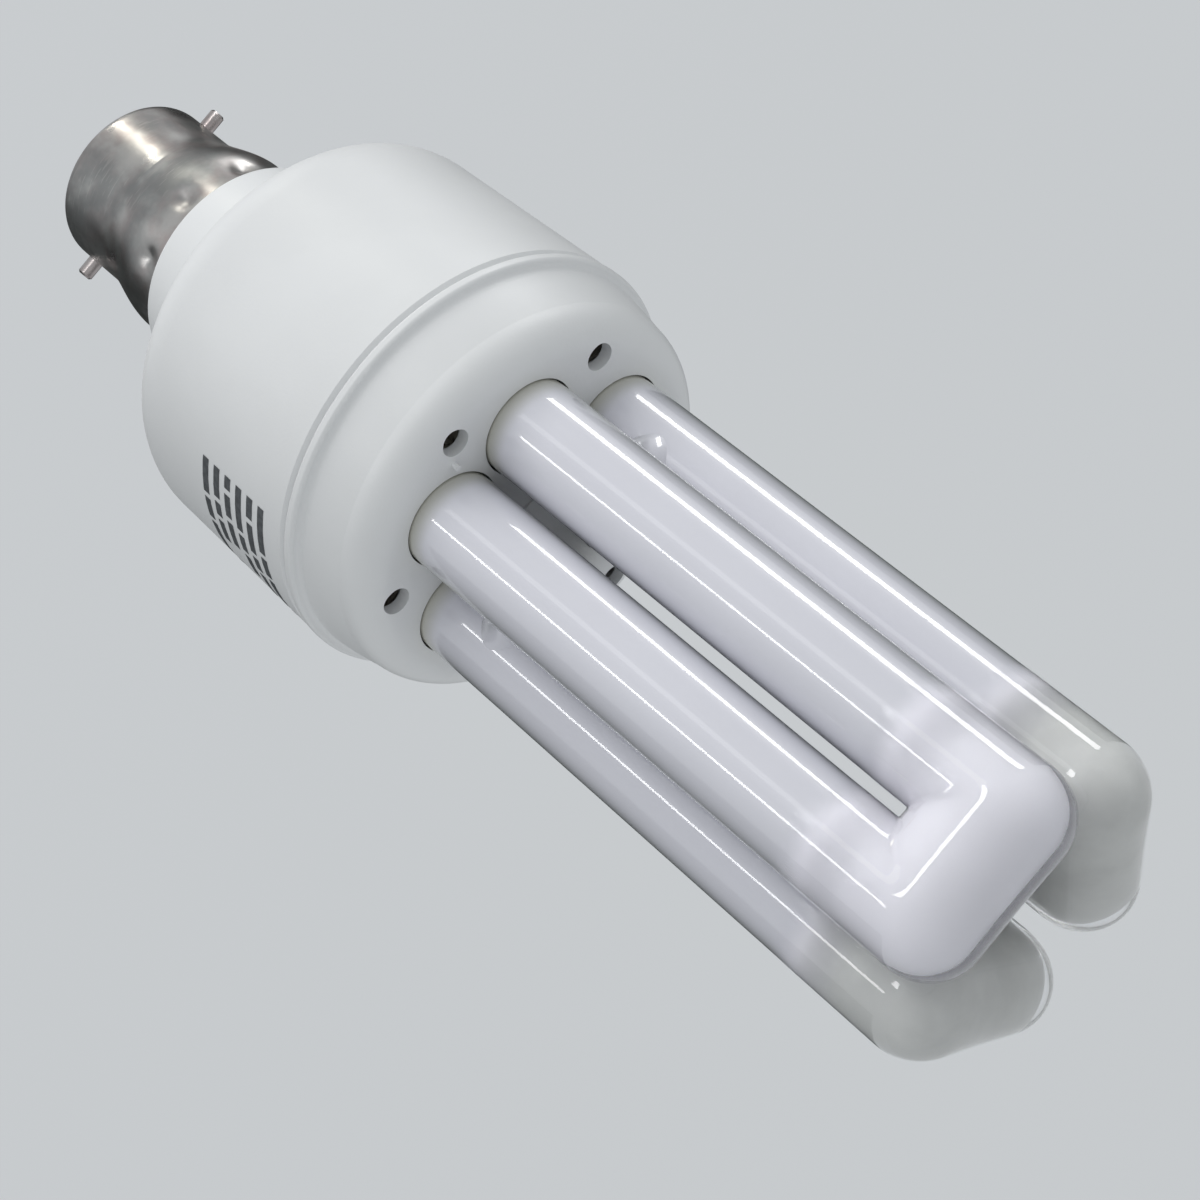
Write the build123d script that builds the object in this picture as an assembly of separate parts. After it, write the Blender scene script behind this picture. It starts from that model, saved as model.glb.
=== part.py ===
from build123d import *
from math import cos, radians, sin, sqrt
import os

# Compact fluorescent lamp with three bent glass tubes and a 22 mm bayonet cap.
# Millimetres. Z runs along the lamp: cap contacts at Z = 0, tube ends at the top.
# The bayonet pins lie along X, and the first tube faces -Y. Angles are in degrees from +X.

# Cap
contact_rise = 1.3
cap_barrel_d = 22.0
cap_skirt_d = 25.4
cap_wall = 0.35
cap_length = 24.6
cap_barrel_length = 11.8
cap_flare_length = 5.0
cap_rim_round = 1.6
cap_mouth_d = 17.4
pin_d = 2.0
pin_neck_d = 1.5
pin_span = 26.8
pin_from_rim = 3.9
pin_chamfer = 0.25
pin_head_d = 3.4
pin_head_t = 0.5
crimp_count = 9
crimp_angle = 20.0
crimp_from_edge = 3.6
crimp_depth = 0.55
crimp_tool_r = 2.8
insulator_depth = 1.7
insulator_rise = 0.5
insulator_step = 0.8
insulator_round = 0.3
contact_pitch = 8.0
contact_plate_d = 4.8
contact_plate_t = 0.6
contact_plate_rise = 0.1
contact_stem_d = 2.4
contact_stem_end = 0.6
solder_d = 3.8
solder_round = 0.6

# Upper housing
housing_wall = 1.4
neck_fit = 0.1
neck_length = 7.0
neck_wall = 1.4
neck_round = 0.6
collar_step = 1.7
collar_round = 0.5
throat_step = 1.1
throat_from_cap = 8.5
throat_flare = 1.5
throat_low_round = 2.0
throat_high_round = 3.0
shoulder_from_cap = 12.5
shoulder_slope = 0.8
shoulder_round = 7.0
body_d = 52.0
body_draft = 0.8
body_length = 33.0
bore_round = 1.0
seam_chamfer = 0.5
rib_count = 4
rib_angle = 45.0
rib_t = 1.6
rib_length = 20.0

# Lower housing, the tube holder
seam_gap = 0.2
bead_stand = 0.1
bead_t = 1.4
bead_round = 0.5
step_depth = 1.2
step_round = 0.7
valley_t = 0.15
valley_length = 1.0
side_length = 6.3
side_bulge = 0.15
side_taper = 0.9
face_round = 4.0
face_t = 1.6
holder_wall = 1.4
spigot_fit = 0.15
spigot_t = 1.2
spigot_length = 3.0
hook_length = 5.9
hook_width = 7.0
hook_catch = 0.7
hook_catch_length = 2.0
catch_fit = 0.15
hook_angle = 22.5
post_t = 2.0
post_fit = 0.1
post_root = 4.0
vent_d = 3.4
vent_from_edge = 0.7
vent_count = 6
nib_d = 0.7
nib_length = 0.9
nib_angle = -84.0
gate_mark_d = 6.0
gate_mark_t = 0.3
socket_fit = 0.2
socket_wall = 1.0
socket_length = 2.0

# Glass
tube_count = 3
tube_angle = -90.0
tube_d = 11.8
tube_wall = 0.95
leg_pitch = 13.1
leg_circle = 11.8
tube_reach = 78.2
leg_tail = 9.8
bridge_from_face = 10.0
bridge_waist_d = 6.8
bridge_flare = 1.2
bridge_bore_flare = 0.2
bridge_wall = 1.1
bridge_seat = 0.55
pinch_w = 7.6
pinch_t = 2.4
pinch_length = 4.0
cement_t = 3.5
cement_margin = 1.7

# Circuit board, its leads and pins. Spots on the board are drawn for a board of radius layout_r
board_gap = 0.64
board_t = 1.6
layout_r = 23.2
board_drop = 0.5
board_ledge = 1.2
board_hole_fit = 0.15
lead_d = 0.7
lead_stub = 0.6
lead_root = 0.5
stand_off = 0.3
wrap_pin_w = 0.7
wrap_pin_length = 7.0
wrap_pin_stub = 1.2
wrap_pin_from_edge = 1.9
wrap_pin_spread = 7.5
filament_wire_d = 0.5
filament_pitch = 3.8
filament_drop = 0.9
filament_bend_r = 0.5
filament_gap = 0.1
mains_wire_d = 1.0
mains_bend_r = 6.0
mains_low_bend = 4.1
mains_high_bend = 3.5
mains_holes = [(-1.0, -3.3), (-6.5, -1.0)]

# Choke: two E cores face to face round a bobbin
choke_spot = (-1.0, -11.5)
core_height = 16.0
core_half = 7.2
core_depth = 4.8
core_limb = 2.0
core_centre_limb = 4.0
core_air_gap = 0.3
coil_wall = 0.8
coil_reach = 3.5
coil_round = 2.0
coil_fit = 0.1
coil_inset = 0.4
choke_stand = 1.0
choke_foot = 2.0

# Drive transformer: a ring core with three windings
toroid_spot = (-9.5, 9.5)
toroid_d = 9.0
toroid_bore = 5.0
toroid_h = 4.0
toroid_stand = 1.0
toroid_wire = 0.6
toroid_wire_round = 0.4
winding_count = 3
winding_spread = 52.0
winding_margin = 8.0

# Filter inductor: a drum core with one winding
inductor_spot = (5.0, 15.0)
inductor_d = 8.0
inductor_height = 9.0
inductor_flange = 1.2
inductor_neck_d = 4.0
inductor_coil_inset = 0.4

# Smoothing capacitor
can_spot = (1.5, 3.5)
can_d = 10.0
can_length = 20.0
can_round = 0.5
can_pitch = 5.0
can_groove_depth = 0.4
can_groove_w = 0.8
can_groove_from_base = 1.8

# Transistors
transistor_spots = [(13.5, 3.0), (17.5, 3.0)]
transistor_w = 7.8
transistor_t = 2.8
transistor_length = 11.0
transistor_chamfer = 0.5
transistor_pitch = 2.3
transistor_stand = 2.0
tab_hole_d = 3.2
tab_hole_from_end = 2.6

# Dipped capacitors
film_stand = 0.8
film_lead_inset = 1.4
starting_spot = (-15.8, -3.0)
starting_size = (5.4, 11.6, 9.5)
starting_round = 1.6
blocking_spot = (11.5, -10.5)
blocking_size = (5.0, 10.0, 9.0)
blocking_round = 1.4

# Thermistor, a disc on edge
thermistor_spot = (-3.6, 17.5)
thermistor_d = 6.4
thermistor_t = 2.8
thermistor_pitch = 5.0

# Axial parts: diodes and resistors
axial_stand = 1.2
axial_bend_r = 0.9
axial_loop = 1.4
axial_gap = 0.9
axial_reach = 1.6
diode_d = 2.7
diode_length = 5.2
diode_spots = [(11.2, 9.4), (18.0, 9.4), (11.2, 13.4), (17.2, 12.9)]
resistor_d = 2.3
resistor_length = 6.0
base_resistor_spots = [(9.3, -2.0), (9.3, 3.4)]
start_resistor_spot = (-13.8, -13.8)
start_resistor_angle = -45.0
trigger_spot = (-17.4, 8.0)
trigger_d = 1.9
trigger_length = 4.2
trigger_angle = 90.0

# How far a cutting tool reaches past what it cuts
through = 1.0

# Levels along Z, worked out from the sizes above
rim_z = contact_rise
insulator_z = rim_z - insulator_rise
pin_z = rim_z + pin_from_rim
cap_edge_z = rim_z + cap_length
collar_z = cap_edge_z + neck_fit
shoulder_z = collar_z + shoulder_from_cap
seam_z = shoulder_z + body_length
bead_z = seam_z + seam_gap
step_z = bead_z + bead_t
face_z = step_z + side_length + face_round
inner_face_z = face_z - face_t
tip_z = face_z + tube_reach
bend_z = tip_z - tube_d / 2
bridge_z = face_z + bridge_from_face
leg_end_z = inner_face_z - leg_tail
pinch_z = leg_end_z - pinch_length / 2
spigot_z = bead_z - spigot_length
hook_z = spigot_z - hook_length
board_top_z = spigot_z - board_drop
board_z = board_top_z - board_t
lead_end_z = board_top_z + lead_stub


def body_r(z):
    """Radius of the upper housing's outer wall at height z."""
    return body_d / 2 + body_draft * (z - shoulder_z) / body_length


# Radii worked out from the sizes above
barrel_r = cap_barrel_d / 2
skirt_r = cap_skirt_d / 2
collar_r = skirt_r + collar_step
throat_r = collar_r + throat_step
bead_r = body_r(seam_z) + bead_stand
side_r = bead_r - step_depth
side_end_r = side_r - side_taper
face_r = side_end_r - face_round
vent_circle_r = face_r - vent_from_edge
spigot_r = body_r(hook_z) - housing_wall - spigot_fit
spigot_inner_r = spigot_r - spigot_t
board_r = spigot_inner_r - board_gap
ledge_r = board_r - board_ledge
wrap_pin_circle_r = board_r - wrap_pin_from_edge
tube_r = tube_d / 2
leg_offset = leg_pitch / 2
socket_r = tube_r + socket_fit


def at(r, z):
    """A point of a turned profile, at radius r and height z."""
    return Vector(r, 0, z)


def around(radius, angle, z=0.0):
    """A point on a circle about the lamp's axis."""
    return Vector(radius * cos(radians(angle)), radius * sin(radians(angle)), z)


def turned(points, rounds=None):
    """A solid of revolution about Z from profile points and their corner rounds."""
    radii = rounds or [0] * len(points)
    outline = FilletPolyline(*points, radius=radii, close=True)
    return revolve(make_face(outline.edges()), Axis.Z)


def drum(diameter, low, high, where=(0, 0)):
    """An upright cylinder between two heights."""
    solid = Cylinder(diameter / 2, high - low, align=(Align.CENTER, Align.CENTER, Align.MIN))
    return Pos(where[0], where[1], low) * solid


def block(width, depth, low, high, where=(0, 0), angle=0.0):
    """An upright box between two heights, turned about its own middle."""
    solid = Box(width, depth, high - low, align=(Align.CENTER, Align.CENTER, Align.MIN))
    return Pos(where[0], where[1], low) * Rot(0, 0, angle) * solid


def rod_along_x(diameter, start, stop, z):
    """A cylinder along X between two distances from the lamp's axis."""
    rod = Cylinder(diameter / 2, stop - start, align=(Align.CENTER, Align.CENTER, Align.MIN))
    return Pos(start, 0, z) * Rot(0, 90, 0) * rod


def wire(points, rounds, diameter):
    """A round wire along straight runs joined by arcs."""
    path = FilletPolyline(*points, radius=rounds)
    section = Plane(origin=path @ 0, z_dir=path % 0) * Circle(diameter / 2)
    return sweep(section, path=path.wire())


# Cap
def cap_core(inset):
    """The inside of the cap's outer surface, taken in by inset."""
    bottom = rim_z + inset
    crease_z = rim_z + cap_barrel_length
    flare_z = crease_z + cap_flare_length
    crease = at(barrel_r - inset, crease_z)
    flare_end = at(skirt_r - inset, flare_z)
    corner = at(barrel_r - inset, bottom)
    rim = FilletPolyline(at(0, bottom), corner, crease, radius=[cap_rim_round - inset])
    flare = TangentArc(flare_end, crease, tangent=(0, 0, -1))
    close = Polyline(flare_end, at(skirt_r - inset, cap_edge_z), at(0, cap_edge_z), at(0, bottom))
    return revolve(make_face([*rim.edges(), *flare.edges(), *close.edges()]), Axis.Z)


def crimp_tools(grow):
    """The balls that press the crimp dents into the skirt."""
    reach = skirt_r + crimp_tool_r - crimp_depth
    tools = []
    for index in range(crimp_count):
        spot = around(reach, crimp_angle + index * 360 / crimp_count, cap_edge_z - crimp_from_edge)
        tools.append(Pos(*spot) * Sphere(crimp_tool_r + grow))
    return tools


def make_cap_shell():
    shell = cap_core(0) - cap_core(cap_wall)
    backing = cap_core(cap_wall / 2)
    for outer_ball, inner_ball in zip(crimp_tools(cap_wall), crimp_tools(0)):
        shell = shell + (outer_ball & backing) - inner_ball
    shell -= drum(cap_mouth_d, rim_z - through, rim_z + 2 * cap_wall)
    return shell - rod_along_x(pin_neck_d, -barrel_r - through, barrel_r + through, pin_z)


def make_bayonet_pin(side):
    """A pin that stands on the barrel, its neck headed over inside."""
    inner_r = barrel_r - cap_wall
    shank = rod_along_x(pin_d, barrel_r, pin_span / 2, pin_z)
    shank = chamfer(shank.edges().group_by(Axis.X)[-1], pin_chamfer)
    neck = rod_along_x(pin_neck_d, inner_r - pin_head_t, barrel_r, pin_z)
    bore = drum(2 * inner_r, pin_z - pin_head_d, pin_z + pin_head_d)
    head = rod_along_x(pin_head_d, inner_r - pin_head_t, barrel_r, pin_z) & bore
    pin = shank + neck + head
    return pin if side > 0 else Rot(0, 0, 180) * pin


def contact_spots():
    return [(0, -contact_pitch / 2), (0, contact_pitch / 2)]


def make_cap_insulator():
    inner_r = barrel_r - cap_wall
    seat_z = rim_z + cap_wall
    back_z = seat_z + insulator_depth
    mouth_r = cap_mouth_d / 2
    body = turned(
        [at(0, insulator_z), at(mouth_r - insulator_step, insulator_z), at(mouth_r, rim_z),
         at(mouth_r, seat_z), at(inner_r, seat_z), at(inner_r, back_z), at(0, back_z)],
        [0, insulator_round, 0, 0, cap_rim_round - cap_wall, 0, 0],
    )
    for spot in contact_spots():
        body -= drum(contact_plate_d, insulator_z - through, insulator_z + contact_plate_t, spot)
        body -= drum(contact_stem_d, insulator_z, back_z + through, spot)
    return body


def make_contact(spot):
    """An eyelet: a round plate on a hollow stem."""
    back_z = rim_z + cap_wall + insulator_depth
    plate = drum(contact_plate_d, insulator_z - contact_plate_rise, insulator_z + contact_plate_t, spot)
    stem = drum(contact_stem_d, insulator_z, back_z + contact_stem_end, spot)
    bore = drum(mains_wire_d, insulator_z - through, back_z + contact_stem_end + through, spot)
    return plate + stem - bore


def make_contact_solder(spot):
    """A drop of solder on the contact, worn flat at its tip."""
    drop = drum(solder_d, 0, insulator_z - contact_plate_rise, spot)
    return fillet(drop.edges().filter_by(GeomType.CIRCLE).sort_by(Axis.Z)[0], solder_round)


# Upper housing
def housing_outline(inset):
    """Throat, shoulder and side of the upper housing, taken in by inset."""
    points = [
        at(throat_r - inset, collar_z + throat_from_cap),
        at(throat_r + throat_flare - inset, shoulder_z - shoulder_slope + inset),
        at(body_r(shoulder_z) - inset, shoulder_z + inset),
    ]
    return points, [throat_low_round, throat_high_round, shoulder_round - inset]


def make_upper_housing():
    neck_r = skirt_r - cap_wall - neck_fit
    bore_r = neck_r - neck_wall
    low = cap_edge_z - neck_length
    points, rounds = housing_outline(0)
    outer = turned(
        [at(0, low), at(neck_r, low), at(neck_r, collar_z), at(collar_r, collar_z)]
        + points
        + [at(body_r(seam_z), seam_z), at(0, seam_z)],
        [0, neck_round, 0, collar_round] + rounds + [0, 0],
    )
    points, rounds = housing_outline(housing_wall)
    top = seam_z + through
    inner = turned(
        [at(0, low - through), at(bore_r, low - through), at(bore_r, collar_z)]
        + points
        + [at(body_r(top) - housing_wall, top), at(0, top)],
        [0, 0, bore_round] + rounds + [0, 0],
    )
    rib_depth = body_r(board_z) + housing_wall - ledge_r
    for index in range(rib_count):
        angle = rib_angle + index * 360 / rib_count
        spot = around(ledge_r + rib_depth / 2, angle)
        inner -= block(rib_depth, rib_t, board_z - rib_length, board_z, (spot.X, spot.Y), angle)
    shell = outer - inner
    rim = shell.edges().filter_by(GeomType.CIRCLE).sort_by(lambda e: (round(e.center().Z, 3), e.radius))[-1]
    shell = chamfer(rim, seam_chamfer)
    for ball in crimp_tools(cap_wall + neck_fit):
        shell -= ball
    for index in range(rib_count):
        shell -= catch_pocket(hook_angle + index * 360 / rib_count)
    return shell


# Lower housing
def hook(angle):
    """A spring hook that hangs from the spigot, with a ramped catch at its end."""
    catch_z = hook_z + hook_catch_length
    high = spigot_z + through
    ring = turned(
        [at(spigot_inner_r, hook_z), at(spigot_r, hook_z), at(spigot_r + hook_catch, catch_z),
         at(spigot_r, catch_z), at(spigot_r, high), at(spigot_inner_r, high)]
    )
    spot = around(spigot_r, angle)
    width = 2 * (spigot_t + hook_width)
    return ring & block(width, hook_width, hook_z - through, high + through, (spot.X, spot.Y), angle)


def catch_pocket(angle):
    """The blind pocket in the upper housing's wall that the hook's catch drops into."""
    low = hook_z - catch_fit
    high = hook_z + hook_catch_length + catch_fit
    reach = spigot_r + hook_catch + catch_fit
    ring = drum(2 * reach, low, high) - drum(2 * spigot_inner_r, low, high)
    spot = around(spigot_r, angle)
    width = 2 * (spigot_t + hook_width)
    slot = block(width, hook_width + 2 * catch_fit, low - through, high + through, (spot.X, spot.Y), angle)
    return ring & slot


def holding_post(angle):
    """A post inside the holder that presses the board onto the ribs of the upper housing."""
    depth = spigot_r - spigot_t / 2 - ledge_r
    spot = around(ledge_r + depth / 2, angle)
    return block(depth, post_t, board_top_z + post_fit, bead_z + post_root, (spot.X, spot.Y), angle)


def leg_spots():
    """Axes of the six legs, the two of each tube together, as (x, y)."""
    spots = []
    for index in range(tube_count):
        turn = tube_angle + index * 360 / tube_count
        for side in (-1, 1):
            spot = around(leg_circle, turn) + around(leg_offset, turn + 90) * side
            spots.append((spot.X, spot.Y))
    return spots


def make_lower_housing():
    outer_side_z = face_z - face_round
    start = at(side_r, step_z + valley_length)
    bulge = at((side_r + side_end_r) / 2 + side_bulge, (step_z + outer_side_z) / 2)
    inner_r = side_end_r - holder_wall
    bottom = FilletPolyline(
        at(0, inner_face_z), at(inner_r, inner_face_z), at(spigot_inner_r, bead_z + spigot_t),
        at(spigot_inner_r, spigot_z), at(spigot_r, spigot_z), at(spigot_r, bead_z), at(bead_r, bead_z),
        at(bead_r, step_z), at(side_r, step_z + valley_t), start,
        radius=[holder_wall, holder_wall / 2, 0, 0, 0, bead_round, bead_round, step_round],
    )
    side = ThreePointArc(start, bulge, at(side_end_r, outer_side_z))
    middle = face_round * sqrt(0.5)
    corner = ThreePointArc(
        at(side_end_r, outer_side_z), at(face_r + middle, outer_side_z + middle), at(face_r, face_z)
    )
    top = Polyline(at(face_r, face_z), at(0, face_z), at(0, inner_face_z))
    shell = revolve(make_face([*bottom.edges(), *side.edges(), *corner.edges(), *top.edges()]), Axis.Z)
    for index in range(rib_count):
        shell += hook(hook_angle + index * 360 / rib_count)
        shell += holding_post(index * 360 / rib_count)
    for spot in leg_spots():
        shell += drum(2 * (socket_r + socket_wall), inner_face_z - socket_length, face_z - face_t / 2, spot)
    shell += drum(gate_mark_d, inner_face_z, face_z + gate_mark_t)
    for spot in leg_spots():
        shell -= drum(2 * socket_r, inner_face_z - socket_length - through, face_z + through, spot)
    for index in range(vent_count):
        spot = around(vent_circle_r, tube_angle + index * 360 / vent_count)
        shell -= drum(vent_d, inner_face_z - through, face_z + through, (spot.X, spot.Y))
    edge = around(vent_circle_r - vent_d / 2 - nib_d / 2, nib_angle)
    return shell + drum(nib_d, face_z - face_t / 2, face_z + nib_length, (edge.X, edge.Y))


# Glass
def bent_tubes(inset):
    """The surface of the three bent tubes, taken in by inset."""
    radius = tube_r - inset
    low = leg_end_z + tube_r
    tubes = None
    for index in range(tube_count):
        tube = None
        for side in (-1, 1):
            spot = (leg_circle, side * leg_offset)
            leg = drum(2 * radius, low, bend_z, spot)
            leg += Pos(spot[0], spot[1], low) * Sphere(radius)
            leg += Pos(spot[0], spot[1], bend_z) * Sphere(radius)
            tube = leg if tube is None else tube + leg
        tube += Pos(leg_circle, 0, bend_z) * Rot(90, 0, 0) * Cylinder(radius, leg_pitch)
        tube = Rot(0, 0, tube_angle + index * 360 / tube_count) * tube
        tubes = tube if tubes is None else tubes + tube
    return tubes


def bridge(start, end, waist_d, flare):
    """A short neck between two legs, waisted in the middle."""
    gap = end - start
    half = gap.length / 2
    swell = half - bridge_seat * tube_r
    waist_r = waist_d / 2
    arc = ThreePointArc(at(waist_r + flare, -swell), at(waist_r, 0), at(waist_r + flare, swell))
    rest = Polyline(
        at(waist_r + flare, swell), at(waist_r, half), at(0, half), at(0, -half), at(waist_r, -half),
        at(waist_r + flare, -swell),
    )
    neck = revolve(make_face([*arc.edges(), *rest.edges()]), Axis.Z)
    return Plane(origin=(start + end) / 2, z_dir=gap) * neck


def bridge_ends():
    """Pairs of points that a bridge joins: the first tube's legs and their neighbours."""
    spots = [Vector(x, y, bridge_z) for x, y in leg_spots()]
    return [(spots[1], spots[2]), (spots[0], spots[5])]


def electrode_spots():
    """The two legs with electrodes, which no bridge reaches."""
    return leg_spots()[3:5]


def facing(x, y):
    """The direction of a point from the lamp's axis."""
    return Vector(x, y, 0).get_angle(Vector(1, 0, 0))


def make_discharge_tube():
    glass = bent_tubes(0)
    hollow = bent_tubes(tube_wall)
    for start, end in bridge_ends():
        glass += bridge(start, end, bridge_waist_d, bridge_flare)
        hollow += bridge(start, end, bridge_waist_d - 2 * bridge_wall, bridge_bore_flare)
    for x, y in electrode_spots():
        glass += block(pinch_t, pinch_w, pinch_z, leg_end_z + tube_r / 2, (x, y), facing(x, y))
    return glass - hollow


def make_tube_cement():
    high = inner_face_z - socket_length
    low = high - cement_t
    pad = drum(2 * leg_circle, low, high)
    for spot in leg_spots():
        pad += drum(tube_d + 2 * cement_margin, low, high, spot)
    for spot in leg_spots():
        pad -= drum(tube_d, low - through, high + through, spot)
    return pad


# Parts on the board. Each maker gives its solid and adds its lead spots to the board's holes.
holes = []


def on_board(spot):
    """A spot of the drawn layout, moved in or out with the board's radius."""
    share = board_r / layout_r
    return spot[0] * share, spot[1] * share


def lead(x, y, from_z):
    """A straight lead from a part's base through the board."""
    holes.append((x, y, lead_d))
    return drum(lead_d, from_z, lead_end_z, (x, y))


def make_standing_part(spot, across, length, away):
    """An axial part that stands on end, its far lead bent back to the board."""
    x, y = on_board(spot)
    top = board_z - axial_stand
    low = top - length
    end = Vector(x, y, 0) + Vector(*away) * (across / 2 + axial_gap)
    holes.append((end.X, end.Y, lead_d))
    run = [Vector(x, y, low + lead_root), Vector(x, y, low - axial_loop)]
    run += [Vector(end.X, end.Y, low - axial_loop), Vector(end.X, end.Y, lead_end_z)]
    loop = wire(run, [axial_bend_r, axial_bend_r], lead_d)
    return drum(across, low, top, (x, y)) + lead(x, y, top - lead_root) + loop


def make_lying_part(spot, across, length, angle):
    """An axial part lying on the board, its two leads bent down into it."""
    z = board_z - across / 2 - stand_off
    middle = Vector(*on_board(spot), z)
    part = Pos(*middle) * Rot(0, 0, angle) * Rot(0, 90, 0) * Cylinder(across / 2, length)
    for sign in (-1, 1):
        root = middle + around(sign * (length / 2 - lead_root), angle)
        tip = middle + around(sign * (length / 2 + axial_reach), angle)
        holes.append((tip.X, tip.Y, lead_d))
        part += wire([root, tip, Vector(tip.X, tip.Y, lead_end_z)], [axial_bend_r], lead_d)
    return part


def make_smoothing_capacitor():
    x, y = on_board(can_spot)
    top = board_z - stand_off
    can = Cylinder(can_d / 2, can_length, align=(Align.CENTER, Align.CENTER, Align.MIN))
    can = fillet(can.edges().filter_by(GeomType.CIRCLE), can_round)
    can = Pos(x, y, top - can_length) * can
    high = top - can_groove_from_base
    low = high - can_groove_w
    groove = drum(can_d + through, low, high) - drum(can_d - 2 * can_groove_depth, low, high)
    can -= Pos(x, y, 0) * groove
    for sign in (-1, 1):
        can += lead(x + sign * can_pitch / 2, y, top - lead_root)
    return can


def choke_level():
    """Height of the choke's winding axis."""
    return board_z - choke_stand - core_height / 2


def make_choke_core(side):
    """One E core: a back and three limbs."""
    x, y = on_board(choke_spot)
    z = choke_level()
    half = core_half - core_air_gap / 2
    middle = x + side * (core_air_gap + half) / 2
    core = block(half, core_depth, z - core_height / 2, z + core_height / 2, (middle, y))
    window = half - core_limb
    inner = x + side * (core_air_gap + window) / 2
    limb_gap = (core_height - 2 * core_limb - core_centre_limb) / 2
    for sign in (-1, 1):
        centre = z + sign * (core_centre_limb + limb_gap) / 2
        core -= block(
            window, core_depth + through, centre - limb_gap / 2, centre + limb_gap / 2, (inner, y)
        )
    return core


def make_choke_bobbin():
    x, y = on_board(choke_spot)
    z = choke_level()
    width = 2 * (core_half - core_limb - coil_fit)
    hole_h = core_centre_limb + 2 * coil_fit
    hole_w = core_depth + 2 * coil_fit
    half = hole_h / 2 + coil_wall
    flange = core_height - 2 * core_limb - coil_inset
    reach = core_depth + 2 * coil_reach
    bobbin = block(width, hole_w + 2 * coil_wall, z - half, z + half, (x, y))
    for sign in (-1, 1):
        spot = (x + sign * (width - coil_wall) / 2, y)
        bobbin += block(coil_wall, reach, z - flange / 2, z + flange / 2, spot)
        for side in (-1, 1):
            foot_x = x + sign * (width / 2 - coil_wall + choke_foot / 2)
            foot_y = y + side * (reach - choke_foot) / 2
            bobbin += block(choke_foot, choke_foot, z + flange / 2 - coil_wall, board_z, (foot_x, foot_y))
            bobbin += lead(foot_x, foot_y, board_z - lead_root)
    return bobbin - block(width + through, hole_w, z - hole_h / 2, z + hole_h / 2, (x, y))


def make_choke_winding():
    x, y = on_board(choke_spot)
    width = 2 * (core_half - core_limb - coil_fit - coil_wall)
    inner_h = core_centre_limb + 2 * (coil_fit + coil_wall)
    inner_w = core_depth + 2 * (coil_fit + coil_wall)
    outer_h = core_height - 2 * core_limb - 2 * coil_inset
    outer_w = core_depth + 2 * (coil_reach - coil_inset)
    outline = Rectangle(outer_w, outer_h)
    ring = fillet(outline.vertices(), coil_round) - Rectangle(inner_w, inner_h)
    coil = extrude(ring, amount=width)
    return Pos(x - width / 2, y, choke_level()) * Rot(0, 90, 0) * Rot(0, 0, 90) * coil


def make_drive_core():
    ring = Circle(toroid_d / 2) - Circle(toroid_bore / 2)
    x, y = on_board(toroid_spot)
    return Pos(x, y, board_z - toroid_stand - toroid_h) * extrude(ring, amount=toroid_h)


def make_drive_winding(index):
    """A band of turns round the ring core, its two leads going into the board."""
    x, y = on_board(toroid_spot)
    high = board_z - toroid_stand
    low = high - toroid_h
    inner_r = toroid_bore / 2 - toroid_wire
    outer_r = toroid_d / 2 + toroid_wire
    band = turned(
        [at(inner_r, low - toroid_wire), at(outer_r, low - toroid_wire),
         at(outer_r, high + toroid_wire), at(inner_r, high + toroid_wire)],
        [toroid_wire_round] * 4,
    )
    band -= drum(toroid_d, low, high) - drum(toroid_bore, low, high)
    size = toroid_d + through
    quarter = block(size, size, low - through, high + through, (size / 2, size / 2))
    wedge = quarter & (Rot(0, 0, winding_spread - 90) * quarter)
    turn = index * 360 / winding_count
    coil = Rot(0, 0, turn) * (band & wedge)
    for angle in (winding_margin, winding_spread - winding_margin):
        spot = around(toroid_d / 2, turn + angle)
        coil += drum(lead_d, high, lead_end_z, (spot.X, spot.Y))
        holes.append((x + spot.X, y + spot.Y, lead_d))
    return Pos(x, y, 0) * coil


def make_transistor(spot):
    """A small flat power transistor on three leads, its tab hole at the far end."""
    x, y = on_board(spot)
    top = board_z - transistor_stand
    body = Box(transistor_t, transistor_w, transistor_length, align=(Align.CENTER, Align.CENTER, Align.MAX))
    body = chamfer(body.edges().filter_by(Axis.X), transistor_chamfer)
    body = Pos(x, y, top) * body
    hole_z = top - transistor_length + tab_hole_from_end
    body -= Pos(x, y, hole_z) * Rot(0, 90, 0) * Cylinder(tab_hole_d / 2, transistor_t + through)
    for offset in (-transistor_pitch, 0, transistor_pitch):
        body += lead(x, y + offset, top - lead_root)
    return body


def make_film_capacitor(spot, size, edge_round):
    """A dipped film capacitor: a rounded block on two leads."""
    x, y = on_board(spot)
    top = board_z - film_stand
    body = Box(*size, align=(Align.CENTER, Align.CENTER, Align.MAX))
    part = Pos(x, y, top) * fillet(body.edges(), edge_round)
    reach = size[1] / 2 - film_lead_inset
    for sign in (-1, 1):
        part += lead(x, y + sign * reach, top - edge_round)
    return part


def make_thermistor():
    """A disc on two leads, standing on edge."""
    x, y = on_board(thermistor_spot)
    middle = board_z - axial_stand - thermistor_d / 2
    disc = Cylinder(thermistor_d / 2, thermistor_t)
    disc = fillet(disc.edges().filter_by(GeomType.CIRCLE), thermistor_t / 3)
    part = Pos(x, y, middle) * Rot(90, 0, 0) * disc
    for sign in (-1, 1):
        part += lead(x + sign * thermistor_pitch / 2, y, middle + thermistor_d / 5)
    return part


def make_filter_core():
    spot = on_board(inductor_spot)
    top = board_z - stand_off
    low = top - inductor_height
    core = drum(inductor_d, low, low + inductor_flange, spot) + drum(inductor_neck_d, low, top, spot)
    return core + drum(inductor_d, top - inductor_flange, top, spot)


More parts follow.
